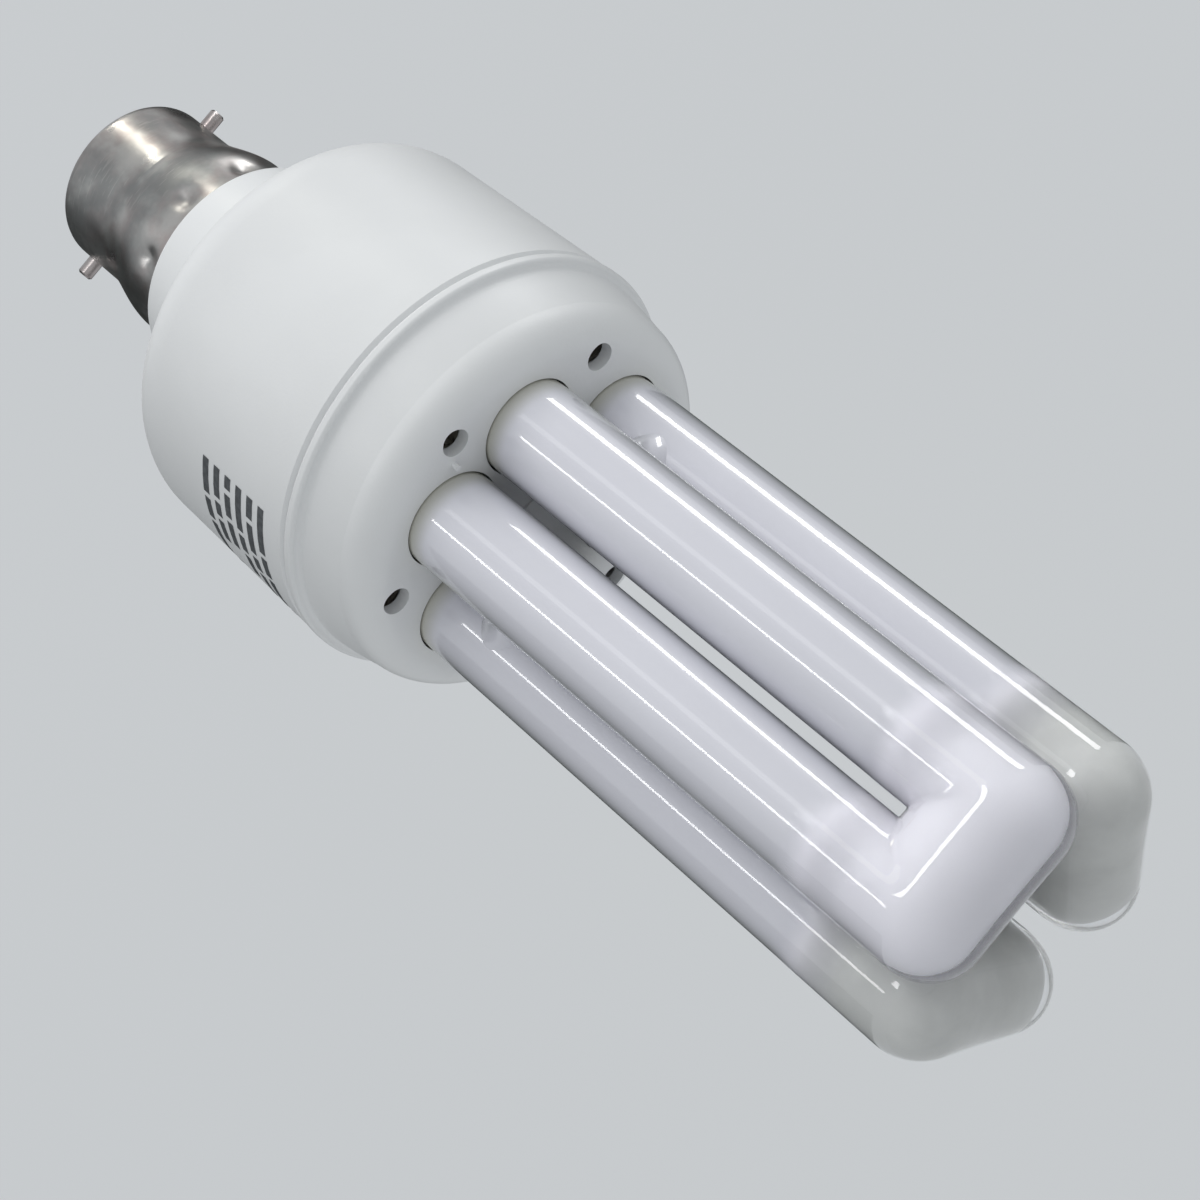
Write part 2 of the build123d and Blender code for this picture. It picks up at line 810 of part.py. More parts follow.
def make_filter_winding():
    spot = on_board(inductor_spot)
    top = board_z - stand_off - inductor_flange
    low = board_z - stand_off - inductor_height + inductor_flange
    coil = drum(inductor_d - 2 * inductor_coil_inset, low, top, spot)
    return coil - drum(inductor_neck_d, low - through, top + through, spot)


def wrap_pin_spots():
    """Where the wrap pins stand, two at each electrode leg, as (x, y, angle, leg, side)."""
    spots = []
    for leg in electrode_spots():
        for side in (-1, 1):
            angle = facing(*leg) + side * wrap_pin_spread
            spot = around(wrap_pin_circle_r, angle)
            spots.append((spot.X, spot.Y, angle, leg, side))
    return spots


def make_wrap_pin(spot):
    x, y, angle, _, _ = spot
    low = board_z - wrap_pin_stub
    return block(wrap_pin_w, wrap_pin_w, low, low + wrap_pin_length, (x, y), angle)


def make_filament_lead(spot):
    """A bare wire from the pinched end of a leg to the side of its wrap pin."""
    x, y, _, leg, side = spot
    start = Vector(leg[0], leg[1], pinch_z) + around(side * filament_pitch / 2, facing(*leg) + 90)
    low = pinch_z - filament_drop
    toward = (Vector(start.X, start.Y, 0) - Vector(x, y, 0)).normalized()
    stop = Vector(x, y, 0) + toward * (wrap_pin_w / 2 + filament_gap)
    run = [start, Vector(start.X, start.Y, low), Vector(stop.X, stop.Y, low)]
    return wire(run, [filament_bend_r], filament_wire_d)


def make_mains_lead(index):
    """An insulated wire from a cap contact up through the neck to the board."""
    x, y = contact_spots()[index]
    hole_x, hole_y = on_board(mains_holes[index])
    low_bend = cap_edge_z + mains_low_bend
    high_bend = shoulder_z + mains_high_bend
    run = [Vector(x, y, insulator_z - contact_plate_rise), Vector(x, y, low_bend)]
    run += [Vector(hole_x, hole_y, high_bend), Vector(hole_x, hole_y, lead_end_z)]
    holes.append((hole_x, hole_y, mains_wire_d))
    return wire(run, [mains_bend_r, mains_bend_r], mains_wire_d)


def make_circuit_board():
    board = drum(2 * board_r, board_z, board_top_z)
    for x, y, size in holes:
        board -= drum(size + 2 * board_hole_fit, board_z - through, board_top_z + through, (x, y))
    for x, y, angle, _, _ in wrap_pin_spots():
        board -= block(wrap_pin_w, wrap_pin_w, board_z - through, board_top_z + through, (x, y), angle)
    return board


nodes = {
    "cap_shell": make_cap_shell(),
    "bayonet_pin_a": make_bayonet_pin(1),
    "bayonet_pin_b": make_bayonet_pin(-1),
    "cap_insulator": make_cap_insulator(),
    "upper_housing": make_upper_housing(),
    "lower_housing": make_lower_housing(),
    "discharge_tube": make_discharge_tube(),
    "tube_cement": make_tube_cement(),
    "smoothing_capacitor": make_smoothing_capacitor(),
    "choke_core_a": make_choke_core(1),
    "choke_core_b": make_choke_core(-1),
    "choke_bobbin": make_choke_bobbin(),
    "choke_winding": make_choke_winding(),
    "drive_core": make_drive_core(),
    "starting_capacitor": make_film_capacitor(starting_spot, starting_size, starting_round),
    "blocking_capacitor": make_film_capacitor(blocking_spot, blocking_size, blocking_round),
    "thermistor": make_thermistor(),
    "start_resistor": make_lying_part(
        start_resistor_spot, resistor_d, resistor_length, start_resistor_angle
    ),
    "trigger_diode": make_lying_part(trigger_spot, trigger_d, trigger_length, trigger_angle),
    "filter_core": make_filter_core(),
    "filter_winding": make_filter_winding(),
}
for index in range(winding_count):
    nodes[f"drive_winding_{index + 1}"] = make_drive_winding(index)
for letter, spot in zip("ab", transistor_spots):
    nodes[f"transistor_{letter}"] = make_transistor(spot)
for letter, spot in zip("ab", base_resistor_spots):
    nodes[f"base_resistor_{letter}"] = make_standing_part(spot, resistor_d, resistor_length, (0, 1, 0))
for index, spot in enumerate(contact_spots()):
    letter = "ab"[index]
    nodes[f"contact_{letter}"] = make_contact(spot)
    nodes[f"contact_solder_{letter}"] = make_contact_solder(spot)
    nodes[f"mains_lead_{letter}"] = make_mains_lead(index)
for index, spot in enumerate(diode_spots, start=1):
    away = (1, 0, 0) if index % 2 else (-1, 0, 0)
    nodes[f"rectifier_diode_{index}"] = make_standing_part(spot, diode_d, diode_length, away)
for index, spot in enumerate(wrap_pin_spots(), start=1):
    nodes[f"wrap_pin_{index}"] = make_wrap_pin(spot)
    nodes[f"filament_lead_{index}"] = make_filament_lead(spot)
nodes["circuit_board"] = make_circuit_board()

os.makedirs("parts", exist_ok=True)
for name, shape in nodes.items():
    export_step(shape, f"parts/{name}.step")
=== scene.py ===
"""Looks of a compact fluorescent bulb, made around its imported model."""

import math

import bmesh
import bpy
from bpy.props import FloatProperty, FloatVectorProperty, IntProperty, PointerProperty
from mathutils import Matrix, Vector
from mathutils.bvhtree import BVHTree


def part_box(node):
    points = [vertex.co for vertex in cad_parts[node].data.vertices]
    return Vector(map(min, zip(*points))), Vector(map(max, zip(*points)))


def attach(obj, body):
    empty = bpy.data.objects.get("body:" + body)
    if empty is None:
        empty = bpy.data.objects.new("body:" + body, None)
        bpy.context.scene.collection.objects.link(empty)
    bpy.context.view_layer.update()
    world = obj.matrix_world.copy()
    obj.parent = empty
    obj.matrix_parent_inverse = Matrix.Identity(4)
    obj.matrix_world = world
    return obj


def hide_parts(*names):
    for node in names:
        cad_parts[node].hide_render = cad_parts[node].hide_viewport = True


bl_info = {
    "name": "Compact fluorescent bulb",
    "version": (1, 0, 0),
    "blender": (4, 5, 0),
    "location": "View3D > Sidebar > Bulb",
    "description": "Cap, glass, print, finishes, lights and camera of a compact fluorescent bulb",
    "category": "Object",
}

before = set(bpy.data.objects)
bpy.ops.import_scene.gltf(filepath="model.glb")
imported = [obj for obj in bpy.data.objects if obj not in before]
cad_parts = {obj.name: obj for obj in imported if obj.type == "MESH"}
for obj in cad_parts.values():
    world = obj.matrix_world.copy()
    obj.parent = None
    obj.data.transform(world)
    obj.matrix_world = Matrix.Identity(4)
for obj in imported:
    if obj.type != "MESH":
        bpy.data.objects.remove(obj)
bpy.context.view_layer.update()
MM = 0.001
BODY = "root"

HOLDER_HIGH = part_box("lower_housing")[1]
BALLAST_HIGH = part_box("upper_housing")[1]
GLASS_LOW, GLASS_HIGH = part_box("discharge_tube")
CAP_LOW, CAP_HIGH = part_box("cap_shell")
NIB_LENGTH = 0.9 * MM
FACE_LEVEL = HOLDER_HIGH.z - NIB_LENGTH
TUBE_TURNS = tuple(math.radians(-90 + 120 * index) for index in range(3))

# Roughness of the glass's gloss, and how far into a bend the clear glass starts to show
GLASS_SHEEN = 0.035
TAKEOVER_START = 0.05

# What all lengths and all colours among the values share
LENGTH = {"min": 0.0, "unit": "LENGTH"}
COLOUR = {"subtype": "COLOR", "size": 3, "min": 0.0, "max": 1.0}


class BulbGlass(bpy.types.PropertyGroup):
    """Sizes and colours of the bent glass tubes."""

    tube_diameter: FloatProperty(
        name="Tube diameter", description="Outside diameter of each tube", default=11.8 * MM, **LENGTH)
    leg_pitch: FloatProperty(
        name="Leg pitch", description="Distance between the two legs of one tube", default=13.1 * MM,
        **LENGTH)
    leg_circle: FloatProperty(
        name="Tube distance", description="Distance from the lamp's axis to the plane of one tube",
        default=11.8 * MM, **LENGTH)
    outer_corner: FloatProperty(
        name="Outer corner", description="Radius of the bend on its outside", default=6.2 * MM, **LENGTH)
    inner_corner: FloatProperty(
        name="Inner corner", description="Radius of the bend at the end of the slit", default=0.62 * MM,
        **LENGTH)
    end_dip: FloatProperty(
        name="End dip", description="How far the end of a bend sinks in at its middle", default=0.12 * MM,
        **LENGTH)
    bridge_height: FloatProperty(
        name="Bridge height", description="Height of the two necks above the holder's face",
        default=10.0 * MM, **LENGTH)
    bridge_waist: FloatProperty(
        name="Bridge waist", description="Diameter of a neck at its narrowest", default=6.8 * MM, **LENGTH)
    bridge_flare: FloatProperty(
        name="Bridge flare", description="How much the radius of a neck grows towards the legs",
        default=1.35 * MM, **LENGTH)
    around: IntProperty(name="Segments", description="Segments round a tube", default=96, min=12)
    front_inset: FloatProperty(
        name="Front inset", description="How deep the coat lies under the clear glass of the front bend",
        default=1.8 * MM, **LENGTH)
    back_inset: FloatProperty(
        name="Back inset", description="How deep the coat lies under the clear glass of the two back bends",
        default=2.0 * MM, **LENGTH)
    takeover: FloatProperty(
        name="Takeover",
        description="Share of the clear length in which the clear glass takes over the gloss",
        default=0.5, min=0.01, max=0.9, subtype="FACTOR")
    clear_lift: FloatProperty(
        name="Clear lift", description="How far the clear glass lies outside the coat where it starts",
        default=0.03 * MM, **LENGTH)
    front_swell: FloatProperty(
        name="Front swell", description="How much the front bend stands out above and below the tube",
        default=1.5 * MM, **LENGTH)
    back_swell: FloatProperty(
        name="Back swell", description="How much the two back bends stand out above and below the tube",
        default=0.7 * MM, **LENGTH)
    clear_length: FloatProperty(
        name="Clear length", description="Height over which a coated tube turns into its clear bend",
        default=9.0 * MM, **LENGTH)
    coat_colour: FloatVectorProperty(
        name="Coat colour", description="Colour of the white coat on the legs", default=(0.74, 0.74, 0.80),
        **COLOUR)
    # Painted light: the coat under the front bend's clear glass is brighter than the legs' coat, to make up
    # for the light the glass holds back
    front_lit_colour: FloatVectorProperty(
        name="Front colour", description="Colour of the coat below the clear glass of the front bend",
        default=(0.955, 0.945, 0.999), **COLOUR)
    bend_colour: FloatVectorProperty(
        name="Bend colour", description="Colour of the thin coat in the two back bends",
        default=(0.76, 0.77, 0.745), **COLOUR)
    clear_colour: FloatVectorProperty(
        name="Clear colour", description="Tint of the clear glass of the bends",
        default=(0.968, 0.968, 0.985), **COLOUR)
    root_length: FloatProperty(
        name="Root length", description="Length of the yellowed glass above the holder", default=3.0 * MM,
        **LENGTH)
    root_colour: FloatVectorProperty(
        name="Root colour", description="Colour of the glass where it enters the holder",
        default=(0.52, 0.515, 0.46), **COLOUR)
    # Painted shade: the colour the tubes are greyed to where they turn away from view
    limb_shade_colour: FloatVectorProperty(
        name="Limb colour", description="Colour of the tubes where they turn away from view",
        default=(0.33, 0.345, 0.335), **COLOUR)


class BulbPlastic(bpy.types.PropertyGroup):
    """Colours of the moulded parts and sizes of the print on them."""

    housing_colour: FloatVectorProperty(
        name="Housing colour", description="Colour of both housings", default=(0.80, 0.81, 0.815), **COLOUR)
    ink_colour: FloatVectorProperty(
        name="Ink colour", description="Colour of the printed dashes", default=(0.075, 0.08, 0.085),
        **COLOUR)
    print_level: FloatProperty(
        name="Print level", description="Height of the lowest printed line above the contacts",
        default=55.6 * MM, unit="LENGTH")
    print_start: FloatProperty(
        name="Print start", description="Direction from the axis in which the lines start",
        default=math.radians(-44.0), unit="ROTATION")
    line_pitch: FloatProperty(
        name="Line pitch", description="Distance between two printed lines", default=2.2 * MM, **LENGTH)
    dash_height: FloatProperty(
        name="Dash height", description="Height of a printed dash", default=1.15 * MM, **LENGTH)
    dash_gap: FloatProperty(
        name="Dash gap", description="Gap between two dashes of a line", default=0.8 * MM, **LENGTH)


class BulbMetal(bpy.types.PropertyGroup):
    """Sizes and colours of the cap."""

    cap_colour: FloatVectorProperty(
        name="Cap colour", description="Colour of the cap's dull plating", default=(0.48, 0.465, 0.45),
        **COLOUR)
    tarnish_colour: FloatVectorProperty(
        name="Tarnish colour", description="Colour of the darker stains on the cap",
        default=(0.21, 0.225, 0.225), **COLOUR)
    blush_colour: FloatVectorProperty(
        name="Blush colour", description="Colour of the pinkish patches on the cap",
        default=(0.38, 0.31, 0.30), **COLOUR)
    wall: FloatProperty(
        name="Wall", description="Thickness of the cap's sheet metal", default=0.35 * MM, **LENGTH)
    barrel_radius: FloatProperty(
        name="Barrel radius", description="Radius of the cap's barrel", default=11.0 * MM, **LENGTH)
    rim_round: FloatProperty(
        name="Rim round", description="Rounding of the cap's closed end", default=1.6 * MM, **LENGTH)
    mouth_radius: FloatProperty(
        name="Mouth radius", description="Radius of the opening round the contacts", default=8.7 * MM,
        **LENGTH)
    flare_start: FloatProperty(
        name="Flare start", description="Height above the rim where the cap starts to widen",
        default=9.4 * MM, **LENGTH)
    flare_end: FloatProperty(
        name="Flare end", description="Height above the rim where the cap reaches its full width",
        default=18.6 * MM, **LENGTH)
    dent_level: FloatProperty(
        name="Dent level", description="Distance of the crimp dents from the cap's open edge",
        default=3.6 * MM, **LENGTH)
    dent_depth: FloatProperty(
        name="Dent depth", description="Depth of each crimp dent", default=0.75 * MM, **LENGTH)
    dent_radius: FloatProperty(
        name="Dent radius", description="Reach of each crimp dent", default=1.5 * MM, **LENGTH)
    crease_level: FloatProperty(
        name="Crease level", description="Height of the short crease above the rim", default=11.8 * MM,
        **LENGTH)
    crease_width: FloatProperty(
        name="Crease width", description="Reach of the crease up and down", default=0.35 * MM, **LENGTH)
    crease_depth: FloatProperty(
        name="Crease depth", description="Depth of the crease", default=0.09 * MM, **LENGTH)


class BulbStage(bpy.types.PropertyGroup):
    """The camera, the floor, the screen and the lights."""

    camera_place: FloatVectorProperty(
        name="Camera", description="Place of the camera", subtype="TRANSLATION", unit="LENGTH", size=3,
        default=(2.336 * MM, -267.079 * MM, 272.264 * MM))
    camera_aim: FloatVectorProperty(
        name="Aim", description="Point that the camera looks at", subtype="TRANSLATION", unit="LENGTH",
        size=3, default=(3.051 * MM, 0.0, 97.175 * MM))
    camera_roll: FloatProperty(
        name="Roll", description="Turn of the camera about its line of sight", default=math.radians(129.82),
        unit="ROTATION")
    camera_lens: FloatProperty(
        name="Lens", description="Focal length on a 36 mm sensor", default=87.13, unit="CAMERA")
    floor_level: FloatProperty(
        name="Floor level", description="Height of the floor", default=-0.95, unit="LENGTH")
    floor_colour: FloatVectorProperty(
        name="Floor colour", description="Colour of the floor's paint", default=(0.36, 0.37, 0.375),
        **COLOUR)
    floor_glow: FloatVectorProperty(
        name="Floor glow", description="Light that the floor adds where it is seen, so that it stays pale",
        default=(0.36, 0.37, 0.38), **COLOUR)
    screen_colour: FloatVectorProperty(
        name="Screen colour", description="Colour of the dark screen behind the lamp",
        default=(0.045, 0.05, 0.05), **COLOUR)
    fill_strength: FloatProperty(
        name="Fill", description="Strength of the even light from all sides", default=0.60, min=0.0)
    key_power: FloatProperty(
        name="Key", description="Power of the main soft light, in watts", default=5.5, min=0.0)
    side_power: FloatProperty(
        name="Side", description="Power of the weak light on the shaded side, in watts",
        default=0.9, min=0.0)
    under_power: FloatProperty(
        name="Under", description="Power of the soft light below the cap, in watts", default=1.6, min=0.0)
    strip_glow: FloatProperty(
        name="Strips", description="Brightness of a strip at its full share", default=11.0, min=0.0)
    strip_distance: FloatProperty(
        name="Strip distance", description="Distance of the strips from the lamp's axis", default=0.35,
        **LENGTH)


class BulbSettings(bpy.types.PropertyGroup):
    """All values of the bulb."""

    glass: PointerProperty(type=BulbGlass)
    plastic: PointerProperty(type=BulbPlastic)
    metal: PointerProperty(type=BulbMetal)
    stage: PointerProperty(type=BulbStage)


def settings():
    """This add-on's values in the open scene."""
    return bpy.context.scene.bulb


# Shares


def clamp(share):
    """Keeps a share between 0 and 1."""
    return min(1.0, max(0.0, share))


def ease(share):
    """Goes from 0 to 1 with a soft start and a soft end."""
    share = clamp(share)
    return share * share * (3 - 2 * share)


# Objects and meshes


def add_object(name, data):
    """Puts a mesh, a light or a camera into the scene."""
    item = bpy.data.objects.new(name, data)
    bpy.context.scene.collection.objects.link(item)
    return item


def new_piece(name, mesh, slot, *nodes):
    """Places a mesh as a piece on the lamp, in place of the named CAD nodes."""
    piece = add_object(name, mesh)
    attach(piece, BODY)
    if nodes:
        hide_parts(*nodes)
    return piece


def flat_mesh(builder, name):
    """Turns a builder into a mesh, as it is."""
    mesh = bpy.data.meshes.new(name)
    builder.to_mesh(mesh)
    builder.free()
    return mesh


def smooth_mesh(builder, name):
    """Turns a builder into a smooth mesh with its faces outward."""
    bmesh.ops.recalc_face_normals(builder, faces=builder.faces)
    mesh = flat_mesh(builder, name)
    for face in mesh.polygons:
        face.use_smooth = True
    mesh.update()
    return mesh


def band(builder, low, high, closed=True):
    """Joins two rows of points with quads."""
    count = len(low)
    for index in range(count if closed else count - 1):
        after = (index + 1) % count
        builder.faces.new((low[index], low[after], high[after], high[index]))


def skin(builder, rings, closed=True):
    """Joins rings of points with quads, in order."""
    rows = [[builder.verts.new(point) for point in ring] for ring in rings]
    for low, high in zip(rows, rows[1:]):
        band(builder, low, high, closed)
    return rows


def bend_start(glass):
    """Height at which a coated tube starts to turn into its clear bend."""
    return GLASS_HIGH.z - glass.tube_diameter - glass.clear_length


def corner_line(outward, radius, glass, steps, swell):
    """Side view of one line of glass from a leg over the corner to the middle of the bend.

    outward is the line's distance outside the leg's axis; points are (across, up)."""
    offset = glass.leg_pitch / 2
    top = GLASS_HIGH.z - glass.tube_diameter / 2 + outward * (1 + 2 * swell / glass.tube_diameter)
    reach = offset + outward
    centre = (reach - radius, top - radius)
    start = bend_start(glass)
    points = [(reach, GLASS_LOW.z), (reach, FACE_LEVEL)]
    for index in range(steps):
        points.append((reach, start + (centre[1] - start) * index / steps))
    for index in range(steps + 1):
        angle = math.pi / 2 * index / steps
        points.append((centre[0] + radius * math.cos(angle), centre[1] + radius * math.sin(angle)))
    for index in range(1, steps + 1):
        points.append((centre[0] * (1 - index / steps), top))
    return points


def tube_lines(glass, inset, swell, steps=14):
    """Lines along one bent tube, one for each step round it, taken in by inset.

    swell is how much the bend stands out above and below the round tube."""
    radius = glass.tube_diameter / 2 - inset
    corner_gain = glass.outer_corner - inset - glass.inner_corner
    corner_power = 2.5
    lines = []
    for index in range(glass.around):
        angle = 2 * math.pi * index / glass.around
        outer_share = (1 + math.cos(angle)) / 2
        corner = glass.inner_corner + corner_gain * outer_share ** corner_power
        line = []
        for across, up in corner_line(radius * math.cos(angle), corner, glass, steps, swell):
            middle = math.cos(clamp(abs(across) / (glass.leg_pitch / 2)) * math.pi / 2)
            sink = glass.end_dip * max(0.0, math.cos(angle)) * middle ** 2
            line.append(Vector((across, up - sink, radius * math.sin(angle))))
        mirrored = [Vector((-point.x, point.y, point.z)) for point in line[-2::-1]]
        lines.append(line + mirrored)
    return lines


def bend_share(glass, up):
    """How far into a bend a height lies: 0 on the legs, 1 in the bend."""
    return clamp((up - bend_start(glass)) / glass.clear_length)


def sink_share(glass, up):
    """How far the coat has sunk at a height, once the clear glass above it has taken over the gloss."""
    return ease((bend_share(glass, up) - glass.takeover) / (1 - glass.takeover))


def coat_lines(glass, inset, swell):
    """Lines of the coat: on the glass along the legs, below it in the bend, less so in the crotch."""
    outside = tube_lines(glass, 0.0, swell)
    inside = tube_lines(glass, inset, swell)
    crotch_depth = 0.35
    lines = []
    for index, (outer, inner) in enumerate(zip(outside, inside)):
        outer_share = (1 + math.cos(2 * math.pi * index / glass.around)) / 2
        depth = crotch_depth + (1 - crotch_depth) * outer_share
        lines.append([a.lerp(b, depth * sink_share(glass, a.y)) for a, b in zip(outer, inner)])
    return lines


def rings_of(lines, place, glass, first=0, last=None):
    """Turns lines along a tube into rings round it, set in place on the lamp."""
    low = GLASS_LOW.z + glass.tube_diameter / 2
    rings = []
    for step in range(len(lines[0]))[first:last]:
        ring = []
        for line in lines:
            point = line[step]
            ring.append(place @ Vector((glass.leg_circle + point.z, point.x, max(point.y, low))))
        rings.append(ring)
    return rings


def close_end(builder, ring, centre, radius, steps=10):
    """Closes a tube's lower end with a round dome below its last ring."""
    previous = ring
    for index in range(1, steps):
        angle = math.pi / 2 * index / steps
        row = []
        for vertex in ring:
            flat = Vector((vertex.co.x - centre.x, vertex.co.y - centre.y, 0)) * math.cos(angle)
            row.append(builder.verts.new(centre + flat - Vector((0, 0, radius * math.sin(angle)))))
        band(builder, previous, row)
        previous = row
    tip = builder.verts.new(centre - Vector((0, 0, radius)))
    for first, second in zip(previous, previous[1:] + previous[:1]):
        builder.faces.new((first, second, tip))


def leg_axes(glass):
    """Where the six legs stand, tube by tube, as points in plan."""
    legs = []
    for turn in TUBE_TURNS:
        place = Matrix.Rotation(turn, 3, "Z")
        for side in (-1, 1):
            legs.append(place @ Vector((glass.leg_circle, side * glass.leg_pitch / 2, 0)))
    return legs


def add_bent_tube(builder, glass, turn, inset, swell):
    """Adds one bent tube with its coat to the glass."""
    place = Matrix.Rotation(turn, 3, "Z")
    radius = glass.tube_diameter / 2
    low = GLASS_LOW.z + radius
    rows = skin(builder, rings_of(coat_lines(glass, inset, swell), place, glass))
    for row, side in ((rows[0], 1), (rows[-1], -1)):
        centre = place @ Vector((glass.leg_circle, side * glass.leg_pitch / 2, low))
        close_end(builder, row, centre, radius)


def add_clear_bend(builder, glass, turn, swell):
    """Adds the clear outer surface of one bend, which ends just above the bend's start."""
    place = Matrix.Rotation(turn, 3, "Z")
    left_out = 3
    lines = tube_lines(glass, -glass.clear_lift, swell)
    skin(builder, rings_of(lines, place, glass, first=left_out, last=-left_out))


def add_bridge(builder, glass, start, end):
    """Adds a waisted neck of glass between two legs."""
    steps = 16
    around = 48
    depth_in_leg = 0.45
    up = Vector((0, 0, 1))
    middle = (start + end) / 2 + up * (FACE_LEVEL + glass.bridge_height)
    gap = end - start
    half = gap.length / 2 - (1 - depth_in_leg) * glass.tube_diameter / 2
    along = gap.normalized()
    across = up.cross(along)
    rings = []
    for index in range(-steps, steps + 1):
        share = index / steps
        radius = glass.bridge_waist / 2 + glass.bridge_flare * share * share
        centre = middle + along * half * share
        ring = []
        for step in range(around):
            angle = 2 * math.pi * step / around
            ring.append(centre + across * radius * math.cos(angle) + up * radius * math.sin(angle))
        rings.append(ring)
    rows = skin(builder, rings)
    builder.faces.new(rows[0][::-1])
    builder.faces.new(rows[-1])


def surface_of(mesh):
    """A search tree over the faces of a mesh."""
    points = [vertex.co.copy() for vertex in mesh.vertices]
    faces = [list(face.vertices) for face in mesh.polygons]
    return BVHTree.FromPolygons(points, faces)


def add_dash(builder, tree, level, start, length, height):
    """Adds a thin printed dash that lies on a round surface."""
    lift = 0.03 * MM
    facet = 0.4 * MM
    reach = 2 * BALLAST_HIGH.x
    steps = max(2, int(length / facet))
    turn = length / BALLAST_HIGH.x
    rows = []
    for up in (0.0, height):
        row = []
        for index in range(steps + 1):
            angle = start + turn * index / steps
            away = Vector((math.cos(angle), math.sin(angle), 0))
            hit, _, _, _ = tree.ray_cast(away * reach + Vector((0, 0, level + up)), -away)
            row.append(builder.verts.new(hit + away * lift))
        rows.append(row)
    band(builder, *rows, closed=False)


# Shader nodes and groups


def feed(tree, socket, value):
    """Links a socket to the output of a node, or sets it to a value."""
    if isinstance(value, bpy.types.NodeSocket):
        tree.links.new(value, socket)
    elif socket.type == "RGBA":
        socket.default_value = (*value, 1.0)
    else:
        socket.default_value = value


def new_group(name, inputs, outputs):
    """An empty shader group with named sockets, and its two end nodes."""
    tree = bpy.data.node_groups.new(name, "ShaderNodeTree")
    for label, kind, value in inputs:
        socket = tree.interface.new_socket(name=label, in_out="INPUT", socket_type=kind)
        socket.default_value = value
    for label, kind in outputs:
        tree.interface.new_socket(name=label, in_out="OUTPUT", socket_type=kind)
    return tree, tree.nodes.new("NodeGroupInput"), tree.nodes.new("NodeGroupOutput")


def math_node(tree, operation, first, second):
    """A Math node with two inputs, each a socket or a number."""
    node = tree.nodes.new("ShaderNodeMath")
    node.operation = operation
    for index, value in enumerate((first, second)):
        feed(tree, node.inputs[index], value)
    return node.outputs[0]


def noise_node(tree, vector, scale, detail, roughness):
    """A noise texture over the given coordinates."""
    node = tree.nodes.new("ShaderNodeTexNoise")
    feed(tree, node.inputs["Vector"], vector)
    feed(tree, node.inputs["Scale"], scale)
    feed(tree, node.inputs["Detail"], detail)
    feed(tree, node.inputs["Roughness"], roughness)
    return node.outputs["Fac"]


def ramp(tree, value, low, high):
    """A value taken from 0 at low to 1 at high."""
    node = tree.nodes.new("ShaderNodeMapRange")
    node.interpolation_type = "SMOOTHSTEP"
    feed(tree, node.inputs["Value"], value)
    feed(tree, node.inputs["From Min"], low)
    feed(tree, node.inputs["From Max"], high)
    return node.outputs["Result"]


def mix_colour(tree, share, first, second):
    """A mix of two colours, each a socket or a colour."""
    node = tree.nodes.new("ShaderNodeMix")
    node.data_type = "RGBA"
    feed(tree, node.inputs["Factor"], share)
    feed(tree, node.inputs["A"], first)
    feed(tree, node.inputs["B"], second)
    return node.outputs["Result"]


def mottle_group():
    """Broad soft stains between two colours."""
    tree, ins, outs = new_group(
        "mottle",
        [("Colour", "NodeSocketColor", (0.8, 0.8, 0.8, 1)),
         ("Stain", "NodeSocketColor", (0.5, 0.5, 0.5, 1)),
         ("Scale", "NodeSocketFloat", 60.0), ("Amount", "NodeSocketFloat", 0.5)],
        [("Colour", "NodeSocketColor"), ("Mask", "NodeSocketFloat")],
    )
    place = tree.nodes.new("ShaderNodeTexCoord").outputs["Object"]
    broad = noise_node(tree, place, ins.outputs["Scale"], detail=4.0, roughness=0.55)
    patches = ramp(tree, broad, low=0.38, high=0.66)
    mask = math_node(tree, "MULTIPLY", patches, ins.outputs["Amount"])
    colour = mix_colour(tree, mask, ins.outputs["Colour"], ins.outputs["Stain"])
    tree.links.new(colour, outs.inputs["Colour"])
    tree.links.new(mask, outs.inputs["Mask"])


def grain_group():
    """Fine grain: a height and a roughness that vary over the surface."""
    tree, ins, outs = new_group(
        "grain",
        [("Scale", "NodeSocketFloat", 2500.0), ("Roughness", "NodeSocketFloat", 0.4),
         ("Spread", "NodeSocketFloat", 0.1)],
        [("Height", "NodeSocketFloat"), ("Roughness", "NodeSocketFloat")],
    )
    place = tree.nodes.new("ShaderNodeTexCoord").outputs["Object"]
    fine = noise_node(tree, place, ins.outputs["Scale"], detail=2.0, roughness=0.6)
    broad = noise_node(tree, place, scale=90.0, detail=3.0, roughness=0.6)
    centred = math_node(tree, "SUBTRACT", broad, 0.5)
    swing = math_node(tree, "MULTIPLY", centred, ins.outputs["Spread"])
    both_ways = math_node(tree, "MULTIPLY", swing, 2.0)
    rough = math_node(tree, "ADD", ins.outputs["Roughness"], both_ways)
    tree.links.new(fine, outs.inputs["Height"])
    tree.links.new(rough, outs.inputs["Roughness"])


def scratch_group():
    """Sparse fine scratches along one direction."""
    tree, ins, outs = new_group(
        "scratches",
        [("Stretch", "NodeSocketVector", (400.0, 400.0, 4000.0)), ("Cover", "NodeSocketFloat", 0.5)],
        [("Mask", "NodeSocketFloat")],
    )
    place = tree.nodes.new("ShaderNodeTexCoord").outputs["Object"]
    scale = tree.nodes.new("ShaderNodeVectorMath")
    scale.operation = "MULTIPLY"
    tree.links.new(place, scale.inputs[0])
    tree.links.new(ins.outputs["Stretch"], scale.inputs[1])
    lines = noise_node(tree, scale.outputs["Vector"], scale=1.0, detail=2.0, roughness=0.4)
    sharp = ramp(tree, lines, low=0.60, high=0.66)
    broad = noise_node(tree, place, scale=120.0, detail=2.0, roughness=0.5)
    patches = ramp(tree, broad, low=0.45, high=0.62)
    sparse = math_node(tree, "MULTIPLY", sharp, patches)
    mask = math_node(tree, "MULTIPLY", sparse, ins.outputs["Cover"])
    tree.links.new(mask, outs.inputs["Mask"])


